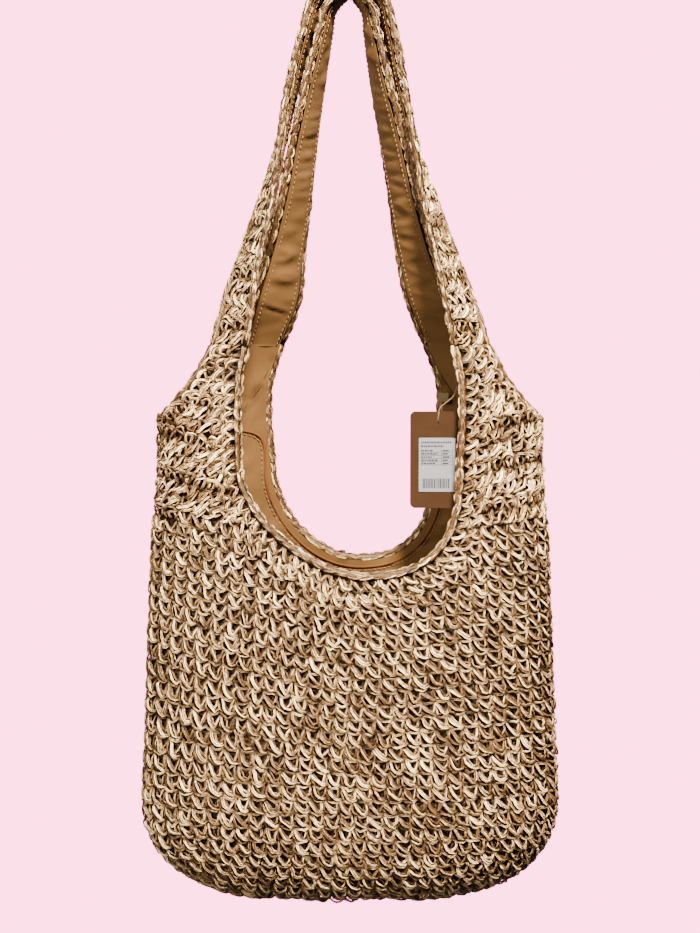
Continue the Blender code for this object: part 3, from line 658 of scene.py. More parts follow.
class Shader:
    """A small helper that adds and joins shader nodes."""

    def __init__(self, name):
        self.material = bpy.data.materials.new(name)
        self.material.use_nodes = True
        self.tree = self.material.node_tree
        self.surface = self.tree.nodes["Principled BSDF"]

    def node(self, kind, **values):
        made = self.tree.nodes.new(kind)
        for key, value in values.items():
            if key in made.inputs:
                made.inputs[key].default_value = value
            else:
                setattr(made, key, value)
        return made

    def place(self):
        return self.node("ShaderNodeTexCoord").outputs["Object"]

    def split(self, vector):
        made = self.node("ShaderNodeSeparateXYZ")
        self.link(vector, made.inputs[0])
        return made.outputs

    def weighted(self, first, one, second, two):
        """The sum of two values, each times its weight."""
        return self.maths("ADD", self.maths("MULTIPLY", first, one),
                          self.maths("MULTIPLY", second, two))

    def link(self, output, target):
        self.tree.links.new(output, target)

    def maths(self, operation, first, second, clamp=False):
        made = self.node("ShaderNodeMath", operation=operation, use_clamp=clamp)
        for slot, value in ((0, first), (1, second)):
            if isinstance(value, (int, float)):
                made.inputs[slot].default_value = value
            else:
                self.link(value, made.inputs[slot])
        return made.outputs[0]

    def noise(self, vector, scale, detail=3.0, roughness=0.55):
        made = self.node("ShaderNodeTexNoise", Scale=scale, Detail=detail, Roughness=roughness)
        self.link(vector, made.inputs["Vector"])
        return made.outputs["Fac"]

    def ramp(self, factor, stops):
        made = self.node("ShaderNodeValToRGB")
        elements = made.color_ramp.elements
        while len(elements) < len(stops):
            elements.new(0.5)
        for element, (place, colour) in zip(elements, stops):
            element.position = place
            element.color = (*colour, 1.0)
        self.link(factor, made.inputs[0])
        return made.outputs[0]

    def mix(self, factor, first, second, blend="MIX"):
        made = self.node("ShaderNodeMix", data_type="RGBA", blend_type=blend)
        for slot, value in ((0, factor), (6, first), (7, second)):
            if isinstance(value, (int, float)):
                made.inputs[slot].default_value = value
            elif isinstance(value, tuple):
                made.inputs[slot].default_value = (*value, 1.0)
            else:
                self.link(value, made.inputs[slot])
        return made.outputs[2]

    def bump(self, height, strength, distance):
        made = self.node("ShaderNodeBump", Strength=strength, Distance=distance)
        self.link(height, made.inputs["Height"])
        self.link(made.outputs[0], self.surface.inputs["Normal"])

    def finish(self, colour, roughness, specular, tint=(1.0, 1.0, 1.0)):
        inputs = self.surface.inputs
        self.link(colour, inputs["Base Color"])
        if isinstance(roughness, float):
            inputs["Roughness"].default_value = roughness
        else:
            self.link(roughness, inputs["Roughness"])
        inputs["Specular IOR Level"].default_value = specular
        inputs["Specular Tint"].default_value = (*tint, 1.0)
        return self.material


def straw_material():
    """Folded paper straw: streaks along each strip, with painted shade at its edges and where it
    lies low among the other strands.
    """
    shader = Shader("straw_strands")
    fibre = shader.node("ShaderNodeAttribute", attribute_name="fibre").outputs["Vector"]
    shade = shader.node("ShaderNodeAttribute", attribute_name="shade").outputs["Vector"]
    tone, depth, chance = shader.split(shade)
    stretch = shader.node("ShaderNodeMapping")
    stretch.inputs["Scale"].default_value = (2.3, 2.4, 1.0)
    shader.link(fibre, stretch.inputs["Vector"])
    grain = shader.noise(stretch.outputs[0], 1.6, 4.0, 0.62)
    broad = shader.noise(fibre, 0.7, 2.0)
    lightness = shader.maths("ADD", tone, shader.weighted(grain, 2.0, broad, 0.45))
    lightness = shader.maths("SUBTRACT", lightness, 1.22, clamp=True)
    colour = shader.ramp(lightness, STRAW_TONES)
    pink = shader.ramp(chance, [(0.70, (0.0, 0.0, 0.0)), (1.0, (0.35, 0.35, 0.35))])
    colour = shader.mix(pink, colour, (1.0, 0.86, 0.80), "MULTIPLY")
    # Painted shade: each strip darker towards its edges, and each strand darker the lower it lies.
    for factor, stops in ((shader.split(fibre)[1], STRAW_EDGE_SHADE), (depth, STRAW_BURIED_SHADE)):
        colour = shader.mix(1.0, colour, shader.ramp(factor, stops), "MULTIPLY")
    shader.bump(grain, 0.80, 0.0006)
    rough = shader.maths("ADD", 0.34, shader.maths("MULTIPLY", broad, 0.22))
    return shader.finish(colour, rough, 0.36, (1.0, 0.72, 0.42))


# A dark sheet behind the crochet: painted shadow where its holes show the inside.
def painted_shadow_material():
    shader = Shader("straw_shadow")
    patch = shader.noise(shader.place(), 260.0, 4.0)
    colour = shader.ramp(patch, [(0.3, (0.007, 0.0028, 0.0010)), (0.7, (0.026, 0.0110, 0.0040))])
    shader.bump(patch, 0.8, 0.001)
    return shader.finish(colour, 1.0, 0.0)


def satin_material(name, light, dark):
    """Tan satin: a fine diagonal weave and soft clouding."""
    shader = Shader(name)
    place = shader.place()
    cloud = shader.noise(place, 14.0, 3.0)
    fine = shader.noise(place, 900.0, 2.0)
    wave = shader.node("ShaderNodeTexWave", Scale=1500.0, Distortion=1.5,
                       bands_direction="DIAGONAL")
    shader.link(place, wave.inputs["Vector"])
    colour = shader.ramp(shader.weighted(cloud, 0.8, fine, 0.25), [(0.30, dark), (0.80, light)])
    shader.bump(shader.maths("ADD", wave.outputs["Fac"], fine), 0.12, 0.0003)
    return shader.finish(colour, 0.62, 0.05, (1.0, 0.68, 0.36))


def card_material():
    shader = Shader("kraft_card")
    place = shader.place()
    fleck = shader.noise(place, 700.0, 5.0, 0.7)
    cloud = shader.noise(place, 60.0, 3.0)
    # The card's colours are kept far darker than kraft card's own, painting in the shade the tag
    # hangs in.
    colour = shader.ramp(shader.weighted(fleck, 0.5, cloud, 0.5),
                         [(0.30, (0.015, 0.0068, 0.0029)), (0.75, (0.023, 0.0105, 0.0046))])
    shader.bump(fleck, 0.25, 0.0003)
    return shader.finish(colour, 0.85, 0.06, (1.0, 0.62, 0.36))


def paper_material():
    shader = Shader("white_label")
    fleck = shader.noise(shader.place(), 420.0, 3.0)
    colour = shader.ramp(fleck, [(0.3, (0.100, 0.092, 0.096)), (0.7, (0.130, 0.118, 0.123))])
    shader.bump(fleck, 0.05, 0.0002)
    return shader.finish(colour, 0.5, 0.4)


def thread_material(name, light, dark, scale=500.0):
    shader = Shader(name)
    fuzz = shader.noise(shader.place(), scale, 4.0)
    colour = shader.ramp(fuzz, [(0.3, dark), (0.7, light)])
    shader.bump(fuzz, 0.4, 0.0004)
    return shader.finish(colour, 0.7, 0.3)


STRAW_TONES = [
    (0.00, (0.022, 0.009, 0.003)), (0.25, (0.056, 0.026, 0.010)), (0.50, (0.118, 0.060, 0.024)),
    (0.75, (0.385, 0.222, 0.096)), (1.00, (1.000, 0.710, 0.350)),
]
# Painted shade: each strip darkens towards its edges.
STRAW_EDGE_SHADE = [(0.46, (1.0, 1.0, 1.0)), (0.90, (0.14, 0.11, 0.08))]
# Painted shade: strands darker the lower they lie among the others.
STRAW_BURIED_SHADE = [(0.05, (0.020, 0.010, 0.005)), (0.35, (0.10, 0.070, 0.048)),
                (0.62, (0.46, 0.41, 0.36)), (0.9, (1.0, 1.0, 1.0))]
STRAW = straw_material()
PAINTED_SHADOW = painted_shadow_material()
# The satin's colours are kept far darker than tan satin's own, painting in the shade the lining
# lies in.
SATIN = satin_material("lining_satin", (0.076, 0.0370, 0.0125), (0.042, 0.0198, 0.0062))
HEM = satin_material("hem_satin", (0.075, 0.0260, 0.0080), (0.040, 0.013, 0.004))
STITCHING = thread_material("topstitch_thread", (0.150, 0.066, 0.0230), (0.080, 0.034, 0.0120))
CARD = card_material()
PAPER = paper_material()
PRINT = thread_material("label_print", (0.008, 0.008, 0.009), (0.004, 0.004, 0.005))
TWINE = thread_material("tag_twine", (0.120, 0.064, 0.030), (0.050, 0.024, 0.010), 900.0)
TAPE = thread_material("olive_tape", (0.120, 0.075, 0.026), (0.070, 0.042, 0.014), 1200.0)


# The pouch's crochet.


def row_sag(x, z):
    """How far a row of stitches lies above its lowest point, at x from the middle."""
    left = 0.27 * np.maximum(0.0, -(x - 0.01))
    right = 0.15 * np.maximum(0.0, x - 0.01)
    rise = left + right
    rise = rise * rise / (rise + 0.004)
    amount = np.clip((z + 0.775) / 0.24, 0, 1)
    return rise * amount * amount * (3 - 2 * amount)


def row_curves(side):
    """For each row of a panel: theta along the row, the height there and the room it has."""
    theta = np.linspace(math.pi, 0, 241) if side < 0 else np.linspace(0, math.pi, 241)
    theta = np.clip(theta, 1e-4, math.pi - 1e-4)
    heights = TABLE_Z[4:]
    points, _ = on_pouch(theta[:, None], heights[None, :], side)
    steps = np.linalg.norm(np.diff(points, axis=1), axis=-1)
    along = np.concatenate([np.zeros((len(theta), 1)), steps.cumsum(axis=1)], axis=1)
    start = int(np.searchsorted(heights, CORNER_TOP_Z))
    along = along - along[:, start : start + 1]
    levels = along - row_sag(points[..., 0], points[..., 2])
    slopes = np.gradient(levels, axis=1) / np.gradient(along, axis=1)
    rows = []
    lowest = int(math.ceil(levels[:, 0].min() / ROW_HEIGHT))
    for index in range(lowest, int(ROWS_REACH / ROW_HEIGHT) + 1):
        wanted = index * ROW_HEIGHT
        z = np.array([np.interp(wanted, level, heights, left=np.nan, right=np.nan)
                      for level in levels])
        pitch = np.array([np.interp(wanted, *pair) for pair in zip(levels, slopes)])
        rows.append((index, theta, z, ROW_HEIGHT / np.clip(pitch, 0.55, 1.4)))
    return rows


def lattice(points, normals, along, places):
    """Stitch middles at places along a row, with their directions across, up and out."""
    centre = pick(places, along, points)
    out = unit(pick(places, along, normals))
    across = pick(places, along, unit(np.gradient(points, axis=0)))
    across = unit(across - (across * out).sum(1, keepdims=True) * out)
    return centre, across, np.cross(out, across), out


def clear_of_armhole(side, x, height, distance):
    in_arm = height > BUMP_Z - 0.006
    return ~(in_arm & (np.abs(x) > armhole_x(side, height) - distance))


def panel_stitches(side):
    cells = Stitches()
    line = NECK_LINES[side]
    for index, theta, z, room in row_curves(side):
        good = ~np.isnan(z)
        for span in np.split(np.arange(len(theta)), np.where(~good)[0]):
            span = span[good[span]]
            if len(span) < 6:
                continue
            points, normals = on_pouch(theta[span], z[span], side)
            along = lengths_along(points)
            pitch = STITCH_WIDTH * (FLAT_ROWS_PITCH if np.mean(z[span]) > FLAT_ROWS_Z else 1.0)
            middle = np.interp(-side * 0.01, -side * points[:, 0], along)
            offset = (0.5 if index % 2 else 0.0) * pitch * 0.25 + index * 0.0011
            first = math.ceil((-middle - offset) / pitch + 0.5)
            last = math.floor((along[-1] - middle - offset) / pitch - 0.5)
            if last < first:
                continue
            places = middle + offset + np.arange(first, last + 1) * pitch
            slack = (along[-1] - places[-1]) - pitch / 2
            stretch = 1 + slack / max(places[-1] - middle, 1e-6)
            places = np.where(places > middle, middle + (places - middle) * stretch, places)
            slack = places[0] - pitch / 2
            stretch = 1 + slack / max(middle - places[0], 1e-6)
            places = np.where(places < middle, middle - (middle - places) * stretch, places)
            centre, across, up, out = lattice(points, normals, along, places)
            tall = np.interp(places, along, room[span]) * 1.02
            x, height = centre[:, 0], centre[:, 2]
            keep = ~inside_mouth(line, x, height) & (distance_to(line, x, height) > NECK_MARGIN)
            keep &= (height < FOLD_Z - 0.004) & clear_of_armhole(side, x, height, 0.0130)
            if not keep.any():
                continue
            worked_flat = height > FLAT_ROWS_Z
            kind = np.where(worked_flat, 3 if index % 3 else 1, 0)
            jitter = np.where(worked_flat, 0.120, 0.075)
            tight = np.where(worked_flat, 1.04, 1.0)
            cells.add(centre[keep], across[keep], up[keep], out[keep],
                      (pitch * tight)[keep], tall[keep], kind[keep], jitter[keep])
    for distance in (0.0076, 0.0172):
        path = smooth_curve(offset_line(line, distance)[::6], 400)
        add_border_row(cells, path, side, 0)
    for sign in (-1, 1):
        hole = np.array([(sign * (x - 0.0068), z - 0.0020) for x, z in ARMHOLES[side]])
        hole = np.vstack([(sign * 0.1728, BUMP_Z - 0.0040), hole[1:]])
        add_border_row(cells, smooth_curve(hole[::-sign], 120), side, 1, bounded=False)
    return cells


def add_border_row(cells, path, side, kind, bounded=True):
    """A row of stitches that runs along an opening, with its strands square to the edge."""
    theta = theta_of(path[:, 0], path[:, 1])
    points, normals = on_pouch(theta, np.minimum(path[:, 1], FOLD_Z), side)
    along = lengths_along(points)
    count = int(round(along[-1] / (STITCH_WIDTH * 0.92)))
    places = (np.arange(count) + 0.5) * along[-1] / count
    centre, across, up, out = lattice(points, normals, along, places)
    x, height = centre[:, 0], centre[:, 2]
    keep = height < FOLD_Z - 0.003
    if bounded:
        keep &= clear_of_armhole(side, x, height, 0.0110)
    cells.add(centre[keep], -side * across[keep], -side * up[keep], out[keep],
              along[-1] / count, BORDER_HEIGHT, kind, 0.085)


def base_stitches():
    cells = Stitches()
    for row, y in enumerate((-0.0085, 0.0, 0.0085)):
        reach = 0.066 - 0.010 * abs(row - 1)
        count = int(2 * reach / STITCH_WIDTH)
        x = np.linspace(-reach, reach, count)
        centre = np.stack([x, np.full(count, y), np.full(count, BASE_Z + 0.0034)], axis=1)
        axes = [np.broadcast_to(sign * np.eye(3)[axis], (count, 3))
                for axis, sign in ((0, 1), (1, -1), (2, -1))]
        cells.add(centre, *axes, STITCH_WIDTH, 0.0100, 0, 0.05)
    return cells


def chain_pieces(name, path, facings):
    """A braided edging: a straw core along the path and a chain of links on each facing."""
    cells = Stitches()
    for out in facings:
        add_chain(cells, path, np.broadcast_to(out, path.shape))
    core = Strands()
    rings = resample(path, max(24, len(path) // 3))[None]
    flat = np.ones(1)
    # The core's depth of 0.55 gives it painted shade, as it lies between the links.
    core.add(rings, np.array([[[0.0, -1.0, 0.0]]]), CORE_DIAMETER * flat, CORE_DIAMETER * flat,
             0.32 * flat, np.full(rings.shape[:2], 0.55))
    return [*cells.build(f"{name}_chain"),
            core.build(f"{name}_chain_core", STRAW, section=round_section(8), taper=1.0)]


def add_chain(cells, path, out):
    along = lengths_along(path)
    count = max(1, int(round(along[-1] / CHAIN_LINK)))
    places = (np.arange(count) + 0.5) * along[-1] / count
    across = unit(pick(places, along, unit(np.gradient(path, axis=0))))
    facing = pick(places, along, out)
    facing = unit(facing - (facing * across).sum(1, keepdims=True) * across)
    cells.add(pick(places, along, path), across, np.cross(facing, across), facing,
              along[-1] / count, CHAIN_WIDTH, 2, CHAIN_JITTER)


def tube_points(path, radius, section, facing):
    """Rings of points round a path, which lie as the facing direction does."""
    tangent = unit(np.gradient(path, axis=0))
    across = unit(np.cross(facing, tangent))
    up = np.cross(tangent, across)
    return (
        path[:, None, :]
        + radius * section[None, :, 0:1] * across[:, None, :]
        + radius * section[None, :, 1:2] * up[:, None, :]
    ).reshape(-1, 3)


def dashes(name, path, out, length=0.0030, gap=0.0016, radius=0.00038):
    """Topstitches: short raised threads along a path on the cloth."""
    along = lengths_along(path)
    count = int(along[-1] / (length + gap))
    starts = (np.arange(count) + 0.2) * along[-1] / count
    places = starts[:, None] + np.linspace(0, length, 5)[None, :]
    normals = unit(pick(places, along, out))
    arc = radius * np.array([-0.6, 0.8, 1.1, 0.8, -0.6])
    points = pick(places, along, path) + arc[None, :, None] * normals
    strands = Strands()
    flat = np.ones(count)
    strands.add(points, normals, 2 * radius * flat, 2 * radius * flat, 0.5 * flat,
                np.ones((count, 5)))
    return strands.build(name, STITCHING, section=round_section(6), taper=0.7)


# The pouch: crochet panels with a dark sheet of painted shadow behind them, edgings and lining.


def fitted_grid(side, offset, inset, rows, columns):
    """A grid over one panel from the base to its cut edge, finest round the neckline."""
    holes = []
    for sign in (-1, 1):
        hole = np.array([(sign * (x - inset), z - 0.3 * inset) for x, z in ARMHOLES[side]])
        hole[-1, 1] = FOLD_Z
        hole[0] = (sign * 0.1715, BUMP_Z - 0.0045)
        holes.append(resample(hole, 14))
    mouth = resample(offset_line(NECK_LINES[side], inset), columns)
    left = np.linspace(holes[0][-1], mouth[0], 6)[1:-1]
    right = np.linspace(mouth[-1], holes[1][-1], 6)[1:-1]
    top = np.vstack([holes[0], left, mouth, right, holes[1][::-1]])
    low_theta = np.linspace(math.pi, 0, len(top))
    high_theta = theta_of(top[:, 0], top[:, 1])
    high_theta[0], high_theta[-1] = math.pi, 0.0
    start = TABLE_Z[8]
    share = np.linspace(0, 1, rows + 1)[:, None]
    z = start + (top[None, :, 1] - start) * (share * 0.55 + 0.45 * share**1.6)
    theta = low_theta + (high_theta - low_theta) * share**1.5
    points, normals = on_pouch(theta, z, side, offset)
    points[..., 2] = np.minimum(points[..., 2], FOLD_Z - 0.0002)
    return points, normals


def crinkle(points, size, amount, seed):
    """A soft random height over the cloth, as from handling."""
    draw = np.random.default_rng(seed)
    total = np.zeros(points.shape[:-1])
    for _ in range(9):
        direction = draw.normal(0, 1, 3) * np.array([1.0, 0.6, 1.3])
        wave = np.sin(points @ direction * (2 * math.pi / size) + draw.uniform(0, 6.28))
        total += wave * draw.uniform(0.3, 1.0)
    ridged = np.abs(np.sin(total * 0.9))
    return amount * (0.6 * total / 3 + 0.7 * (1 - ridged))


def make_pouch():
    for side, name in ((-1, "front"), (1, "back")):
        stitches = panel_stitches(side).build(f"{name}_stitches")
        # A dark sheet just behind the stitches paints the shadow seen through their holes.
        grids = [fitted_grid(side, offset, 0.0020, 60, 90)[0] for offset in (-0.0012, -0.0024)]
        shadow_sheet = new_solid(f"{name}_inner_layer", *sheet_solid(*grids), PAINTED_SHADOW)
        place_on("pouch", "straw", f"crochet_{name}", *stitches, shadow_sheet)
        make_edging(f"{name}_neck", side)
    make_armholes()
    place_on("pouch", "straw", "crochet_base", *base_stitches().build("base_stitches"))
    make_lining()


def make_edging(name, side):
    line = NECK_LINES[side]
    theta = theta_of(line[:, 0], line[:, 1])
    path, normals = on_pouch(theta, np.minimum(line[:, 1], FOLD_Z - 0.001), side)
    inward = np.array([NECKS[side]["low"][0], 0.0, -0.40]) - path
    inward[:, 1] = 0
    towards = unit(inward)
    facings = (unit(normals + 0.6 * towards), unit(0.6 * towards - normals))
    place_on("pouch", "straw_edging", f"{name}_edging", *chain_pieces(name, path, facings))


def make_armholes():
    for sign, name in ((-1, "left"), (1, "right")):
        lines = []
        for side in (-1, 1):
            hole = resample(np.array([(sign * x, z) for x, z in ARMHOLES[side]]), 20)
            theta = theta_of(hole[:, 0], hole[:, 1])
            lines.append(on_pouch(theta, np.minimum(hole[:, 1], FOLD_Z - 0.001), side)[0])
        path = smooth_curve(np.vstack([lines[0][::-4], lines[1][4::4]]), 90)
        sideways = np.clip(path[:, 1:2] / 0.03, -1, 1) * np.array([[0.0, 0.9, 0.0]])
        facings = (unit(np.array([sign * 0.55, 0.0, 0.55]) + sideways),
                   unit(np.array([-sign * 0.45, 0.0, -0.35]) - sideways),
                   unit(np.array([sign * 0.8, 0.0, 0.6]) - 0.8 * sideways))
        place_on("pouch", "straw_edging", f"{name}_armhole_edging",
                 *chain_pieces(f"{name}_armhole", path, facings))


def slack_off(away):
    """How far the lining stands off the crochet, at a distance from the fold."""
    return LINING_STAND_OFF * np.clip(1 - away / LINING_JOIN, 0, 1) ** 2


def neck_heights(side):
    """Heights up the neckline and its distance from the middle there."""
    rows = np.array(NECKS[side]["left"][::-1])
    return rows[:, 1], -rows[:, 0]


def make_lining():
    """The lining is one bag of satin: two panels sewn to the crochet along the openings."""
    for side, name in ((-1, "front"), (1, "back")):
        outer, normals = fitted_grid(side, -0.0042, 0.0018, 90, 150)
        depth = crinkle(outer, 0.080, 0.0030, 5 + side)
        fade = np.clip((outer[..., 2] + 0.60) / 0.06, 0.2, 1.0)
        fade = fade * np.clip((FOLD_Z - outer[..., 2]) / LINING_JOIN, 0.0, 1.0)
        outer = outer - (np.abs(depth) * fade)[..., None] * normals
        inner_x = np.interp(outer[..., 2], *neck_heights(side))
        share = (np.abs(outer[..., 0]) - inner_x) / (armhole_x(side, outer[..., 2]) - inner_x)
        bulge = np.sin(np.clip(share, 0, 1) * math.pi) ** 0.8
        outer[..., 1] -= side * slack_off(FOLD_Z - outer[..., 2]) * bulge
        solid = sheet_solid(outer, outer - CLOTH_THICKNESS * normals)
        place_on("pouch", "lining_cloth", "lining_pouch",
                 new_solid(f"{name}_lining_cloth", *solid, SATIN))
        make_hem(side, name)


def make_hem(side, name):
    neck = NECKS[side]
    curve = resample(offset_line(bowl(neck), 0.0080), 22)
    left_turn = (neck["left"][-1][0] - 0.012, -0.402)
    right_turn = (neck["right"][-1][0] + 0.010, -0.387)
    line = [(-0.152, -0.404), (-0.130, -0.397), left_turn, *curve[1:-1], right_turn,
            (0.130, -0.391), (0.152, -0.404)]
    line = smooth_curve(line, 160)
    path, normals = on_pouch(theta_of(line[:, 0], line[:, 1]), line[:, 1], side, -0.0064)
    section = round_section(8, 0.60)
    roll = new_solid(f"{name}_hem_roll", tube_points(path, 0.0012, section, normals),
                     capped_rings(len(path), 8), HEM)
    low = offset_line(line, 0.0030)
    path, normals = on_pouch(theta_of(low[:, 0], low[:, 1]), low[:, 1], side, -0.0062)
    place_on("pouch", "hem_cloth", "lining_hem", roll,
             dashes(f"{name}_hem_topstitch", path, -normals))


# The handles.


def handle_edges(stations, steps=300):
    near, far = [], []
    for sign, rows in ((-1, stations), (1, stations[-2::-1])):
        for z, near_x, near_y, far_x, far_y, shift in rows:
            near.append((shift + sign * near_x, near_y, z))
            far.append((shift + sign * far_x, far_y, z))
    both = smooth_curve(np.hstack([near, far]), steps)
    return both[:, :3], both[:, 3:]


def handle_frame(near, far):
    across = unit(far - near)
    along = np.gradient((near + far) / 2, axis=0)
    outward = unit(np.cross(along, across))
    return across, unit(along), outward


def make_handle(name):
    near, far = handle_edges(HANDLES[name])
    across, along, outward = handle_frame(near, far)
    width = np.linalg.norm(far - near, axis=1)
    lengths = lengths_along((near + far) / 2)
    rows = int(round(lengths[-1] / ROW_HEIGHT))
    cells = Stitches()
    for row in range(rows):
        place = (row + 0.5) * lengths[-1] / rows
        index = int(np.argmin(np.abs(lengths - place)))
        room = width[index] - 2 * HANDLE_BORDER
        columns = max(2, int(round(room / STITCH_WIDTH)))
        shares = (np.arange(columns) + 0.5) / columns
        centre = near[index] + (HANDLE_BORDER + room * shares)[:, None] * across[index]
        up = along[index] if index <= len(near) // 2 else -along[index]
        out = outward[index]
        wide = unit(np.cross(up, out))
        axes = [np.broadcast_to(axis, (columns, 3)) for axis in (wide, np.cross(out, wide), out)]
        cells.add(centre, *axes, room / columns * 1.04, lengths[-1] / rows * 1.04,
                  (3, 1, 3, 0)[row % 4], 0.095)
    pieces = cells.build(f"{name}_handle_stitches")
    # A dark sheet just behind the handle's stitches paints the shadow seen through their holes.
    left, right = near + 0.002 * across, far - 0.002 * across
    grids = []
    for offset in (-0.0008, -0.0020):
        grid = [left + share * (right - left) + offset * outward for share in np.linspace(0, 1, 7)]
        grids.append(np.stack(grid, axis=1)[::3])
    pieces.append(new_solid(f"{name}_handle_inner_layer", *sheet_solid(*grids), PAINTED_SHADOW))
    for piece in pieces:
        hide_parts(f"{name}_handle_crochet")
    for place, path, sign in (("near", near, -1), ("far", far, 1)):
        facings = (unit(outward + sign * 0.6 * across), unit(0.6 * sign * across - outward))
        for piece in chain_pieces(f"{name}_handle_{place}", path, facings):
            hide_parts(f"{name}_handle_{place}_edging")
            pieces.append(piece)
    pieces += make_handle_lining(name, near, far, across, outward)
    for piece in pieces:
        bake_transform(piece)


def make_handle_lining(name, near, far, across, outward):
    shares = np.linspace(0, 1, 19)
    left, right = near + 0.0035 * across, far - 0.0035 * across
    grid = np.stack([left + share * (right - left) for share in shares], axis=1)
    out = np.broadcast_to(outward[:, None, :], grid.shape)
    bulge = np.sin(shares * math.pi) ** 0.8
    side = -1 if name == "front" else 1
    fold = crinkle(grid * np.array([0.7, 0.7, 1.0]), 0.075, 0.0030, 28 + 6 * side)
    level = np.clip((grid[..., 2] - FOLD_Z) / LINING_JOIN, 0.0, 1.0)
    depth = 0.0042 + (0.0010 + np.abs(fold)) * bulge[None, :] * level
    outer = grid - depth[..., None] * out
    half = len(outer) // 2
    for end, part in ((0, slice(0, half)), (-1, slice(half, None))):
        row = outer[end]
        pouch, _ = on_pouch(theta_of(row[:, 0], row[:, 2]), FOLD_Z, side, -0.0044)
        outer[part, :, 1] += (pouch[:, 1] - row[:, 1]) * (1 - level[part])
    outer[..., 1] -= side * slack_off(grid[..., 2] - FOLD_Z) * bulge[None, :]
    lap = np.array([0.0, 0.0, FOLD_Z - 0.002])
    outer = np.concatenate([outer[:1] * (1, 1, 0) + lap, outer, outer[-1:] * (1, 1, 0) + lap])
    out = np.concatenate([out[:1], out, out[-1:]])
    solid = sheet_solid(outer, outer - CLOTH_THICKNESS * out)
    pieces = [new_solid(f"{name}_handle_lining_cloth", *solid, SATIN)]
    for place, share in (("near", 0.10), ("far", 0.90)):
        path = left + share * (right - left) - 0.0057 * outward
        pieces.append(dashes(f"{name}_handle_{place}_topstitch", path, -outward))
    for piece in pieces:
        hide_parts(f"{name}_handle_lining")
    return pieces


# The tag, its string and the tape loop.

BOX_FACES = ((0, 1, 2, 3), (7, 6, 5, 4), (0, 4, 5, 1), (1, 5, 6, 2), (2, 6, 7, 3), (3, 7, 4, 0))


def rounded_outline(width, height, corner, steps=8):
    points = []
    for quarter, (sx, sz) in enumerate(((1, 1), (-1, 1), (-1, -1), (1, -1))):
        for step in range(steps + 1):
            angle = (quarter + step / steps) * math.pi / 2
            x = sx * (width / 2 - corner) + corner * math.cos(angle)
            z = sz * (height / 2 - corner) + corner * math.sin(angle)
            points.append((x, z))
    return points


def plate(name, outline, centre, thickness, material, hole=None):
    """A flat plate, with a round hole at hole's (x, z) if there is one."""
    count = len(outline)
    rings = [outline]
    if hole:
        turns = [math.atan2(z - hole[1], x - hole[0]) for x, z in outline]
        rings.append([(hole[0] + hole[2] * math.cos(turn), hole[1] + hole[2] * math.sin(turn))
                      for turn in turns])
    points = []
    for ring in rings:
        for y in (-thickness / 2, thickness / 2):
            points += [(centre[0] + x, centre[1] + y, centre[2] + z) for x, z in ring]
    faces = []
    for here in range(count):
        there = (here + 1) % count
        faces.append((here, there, there + count, here + count))
        if hole:
            low, high = 2 * count, 3 * count
            faces.append((low + there, low + here, high + here, high + there))
            faces.append((there, here, low + here, low + there))
            faces.append((count + here, count + there, high + there, high + here))
    if not hole:
        faces.append(tuple(range(count - 1, -1, -1)))
        faces.append(tuple(range(count, 2 * count)))
    return new_solid(name, points, faces, material, smooth=False)


def make_print(centre, front):
    """Generic printing on the label: dashes where words would be, a grid and plain bars."""
    draw = np.random.default_rng(3)
    points, faces = [], []

    def add_box(x0, z0, x1, z1):
        start = len(points)
        corners = [(centre[0] + x, centre[2] + z)
                   for x, z in ((x0, z0), (x1, z0), (x1, z1), (x0, z1))]
        for y in (front - 0.00006, front + 0.00004):
            points.extend((x, y, z) for x, z in corners)
        for face in BOX_FACES:
            faces.append(tuple(start + corner for corner in face))

    for z, reach in ((0.0195, 0.0130), (0.0160, 0.0060)):
        x = -0.0145
        while x < reach:
            step = draw.uniform(0.0009, 0.0020)
            add_box(x, z, min(x + step, reach), z + 0.0017)
            x += step + 0.0005
    for row in range(5):
        z = 0.0122 - 0.0029 * row
        x = -0.0140
        while x < draw.uniform(-0.0060, 0.0020):
            step = draw.uniform(0.0010, 0.0028)
            add_box(x, z, x + step, z + 0.0013)
            x += step + 0.0005
        add_box(0.0050, z, 0.0050 + draw.uniform(0.0030, 0.0075), z + 0.0013)
        add_box(-0.0145, z - 0.0009, 0.0140, z - 0.0005)
    for x in (-0.0147, 0.0036, 0.0138):
        add_box(x, -0.0010, x + 0.0004, 0.0142)
    x = -0.0130
    while x < 0.0115:
        step = draw.uniform(0.0004, 0.0012)
        add_box(x, -0.0215, x + step, -0.0125)
        x += step + draw.uniform(0.0004, 0.0009)
    return new_solid("label_print", points, faces, PRINT, smooth=False)


def make_tag():
    hole = (0.0, TAG_SIZE[2] / 2 - 0.009, 0.0016)
    card = plate("tag_card", rounded_outline(TAG_SIZE[0], TAG_SIZE[2], 0.005), TAG_CENTRE,
                 TAG_SIZE[1], CARD, hole)
    place_on("tag", "kraft_card", "hang_tag", card)
    front = TAG_CENTRE[1] - TAG_SIZE[1] / 2 - 0.00025
    centre = (TAG_CENTRE[0] - 0.0005, front, TAG_CENTRE[2] - 0.0045)
    label = plate("tag_label", rounded_outline(0.033, 0.049, 0.0008, 3), centre, 0.0003, PAPER)
    place_on("tag", "white_label", "tag_sticker", label, make_print(centre, front - 0.00015))
    make_string()


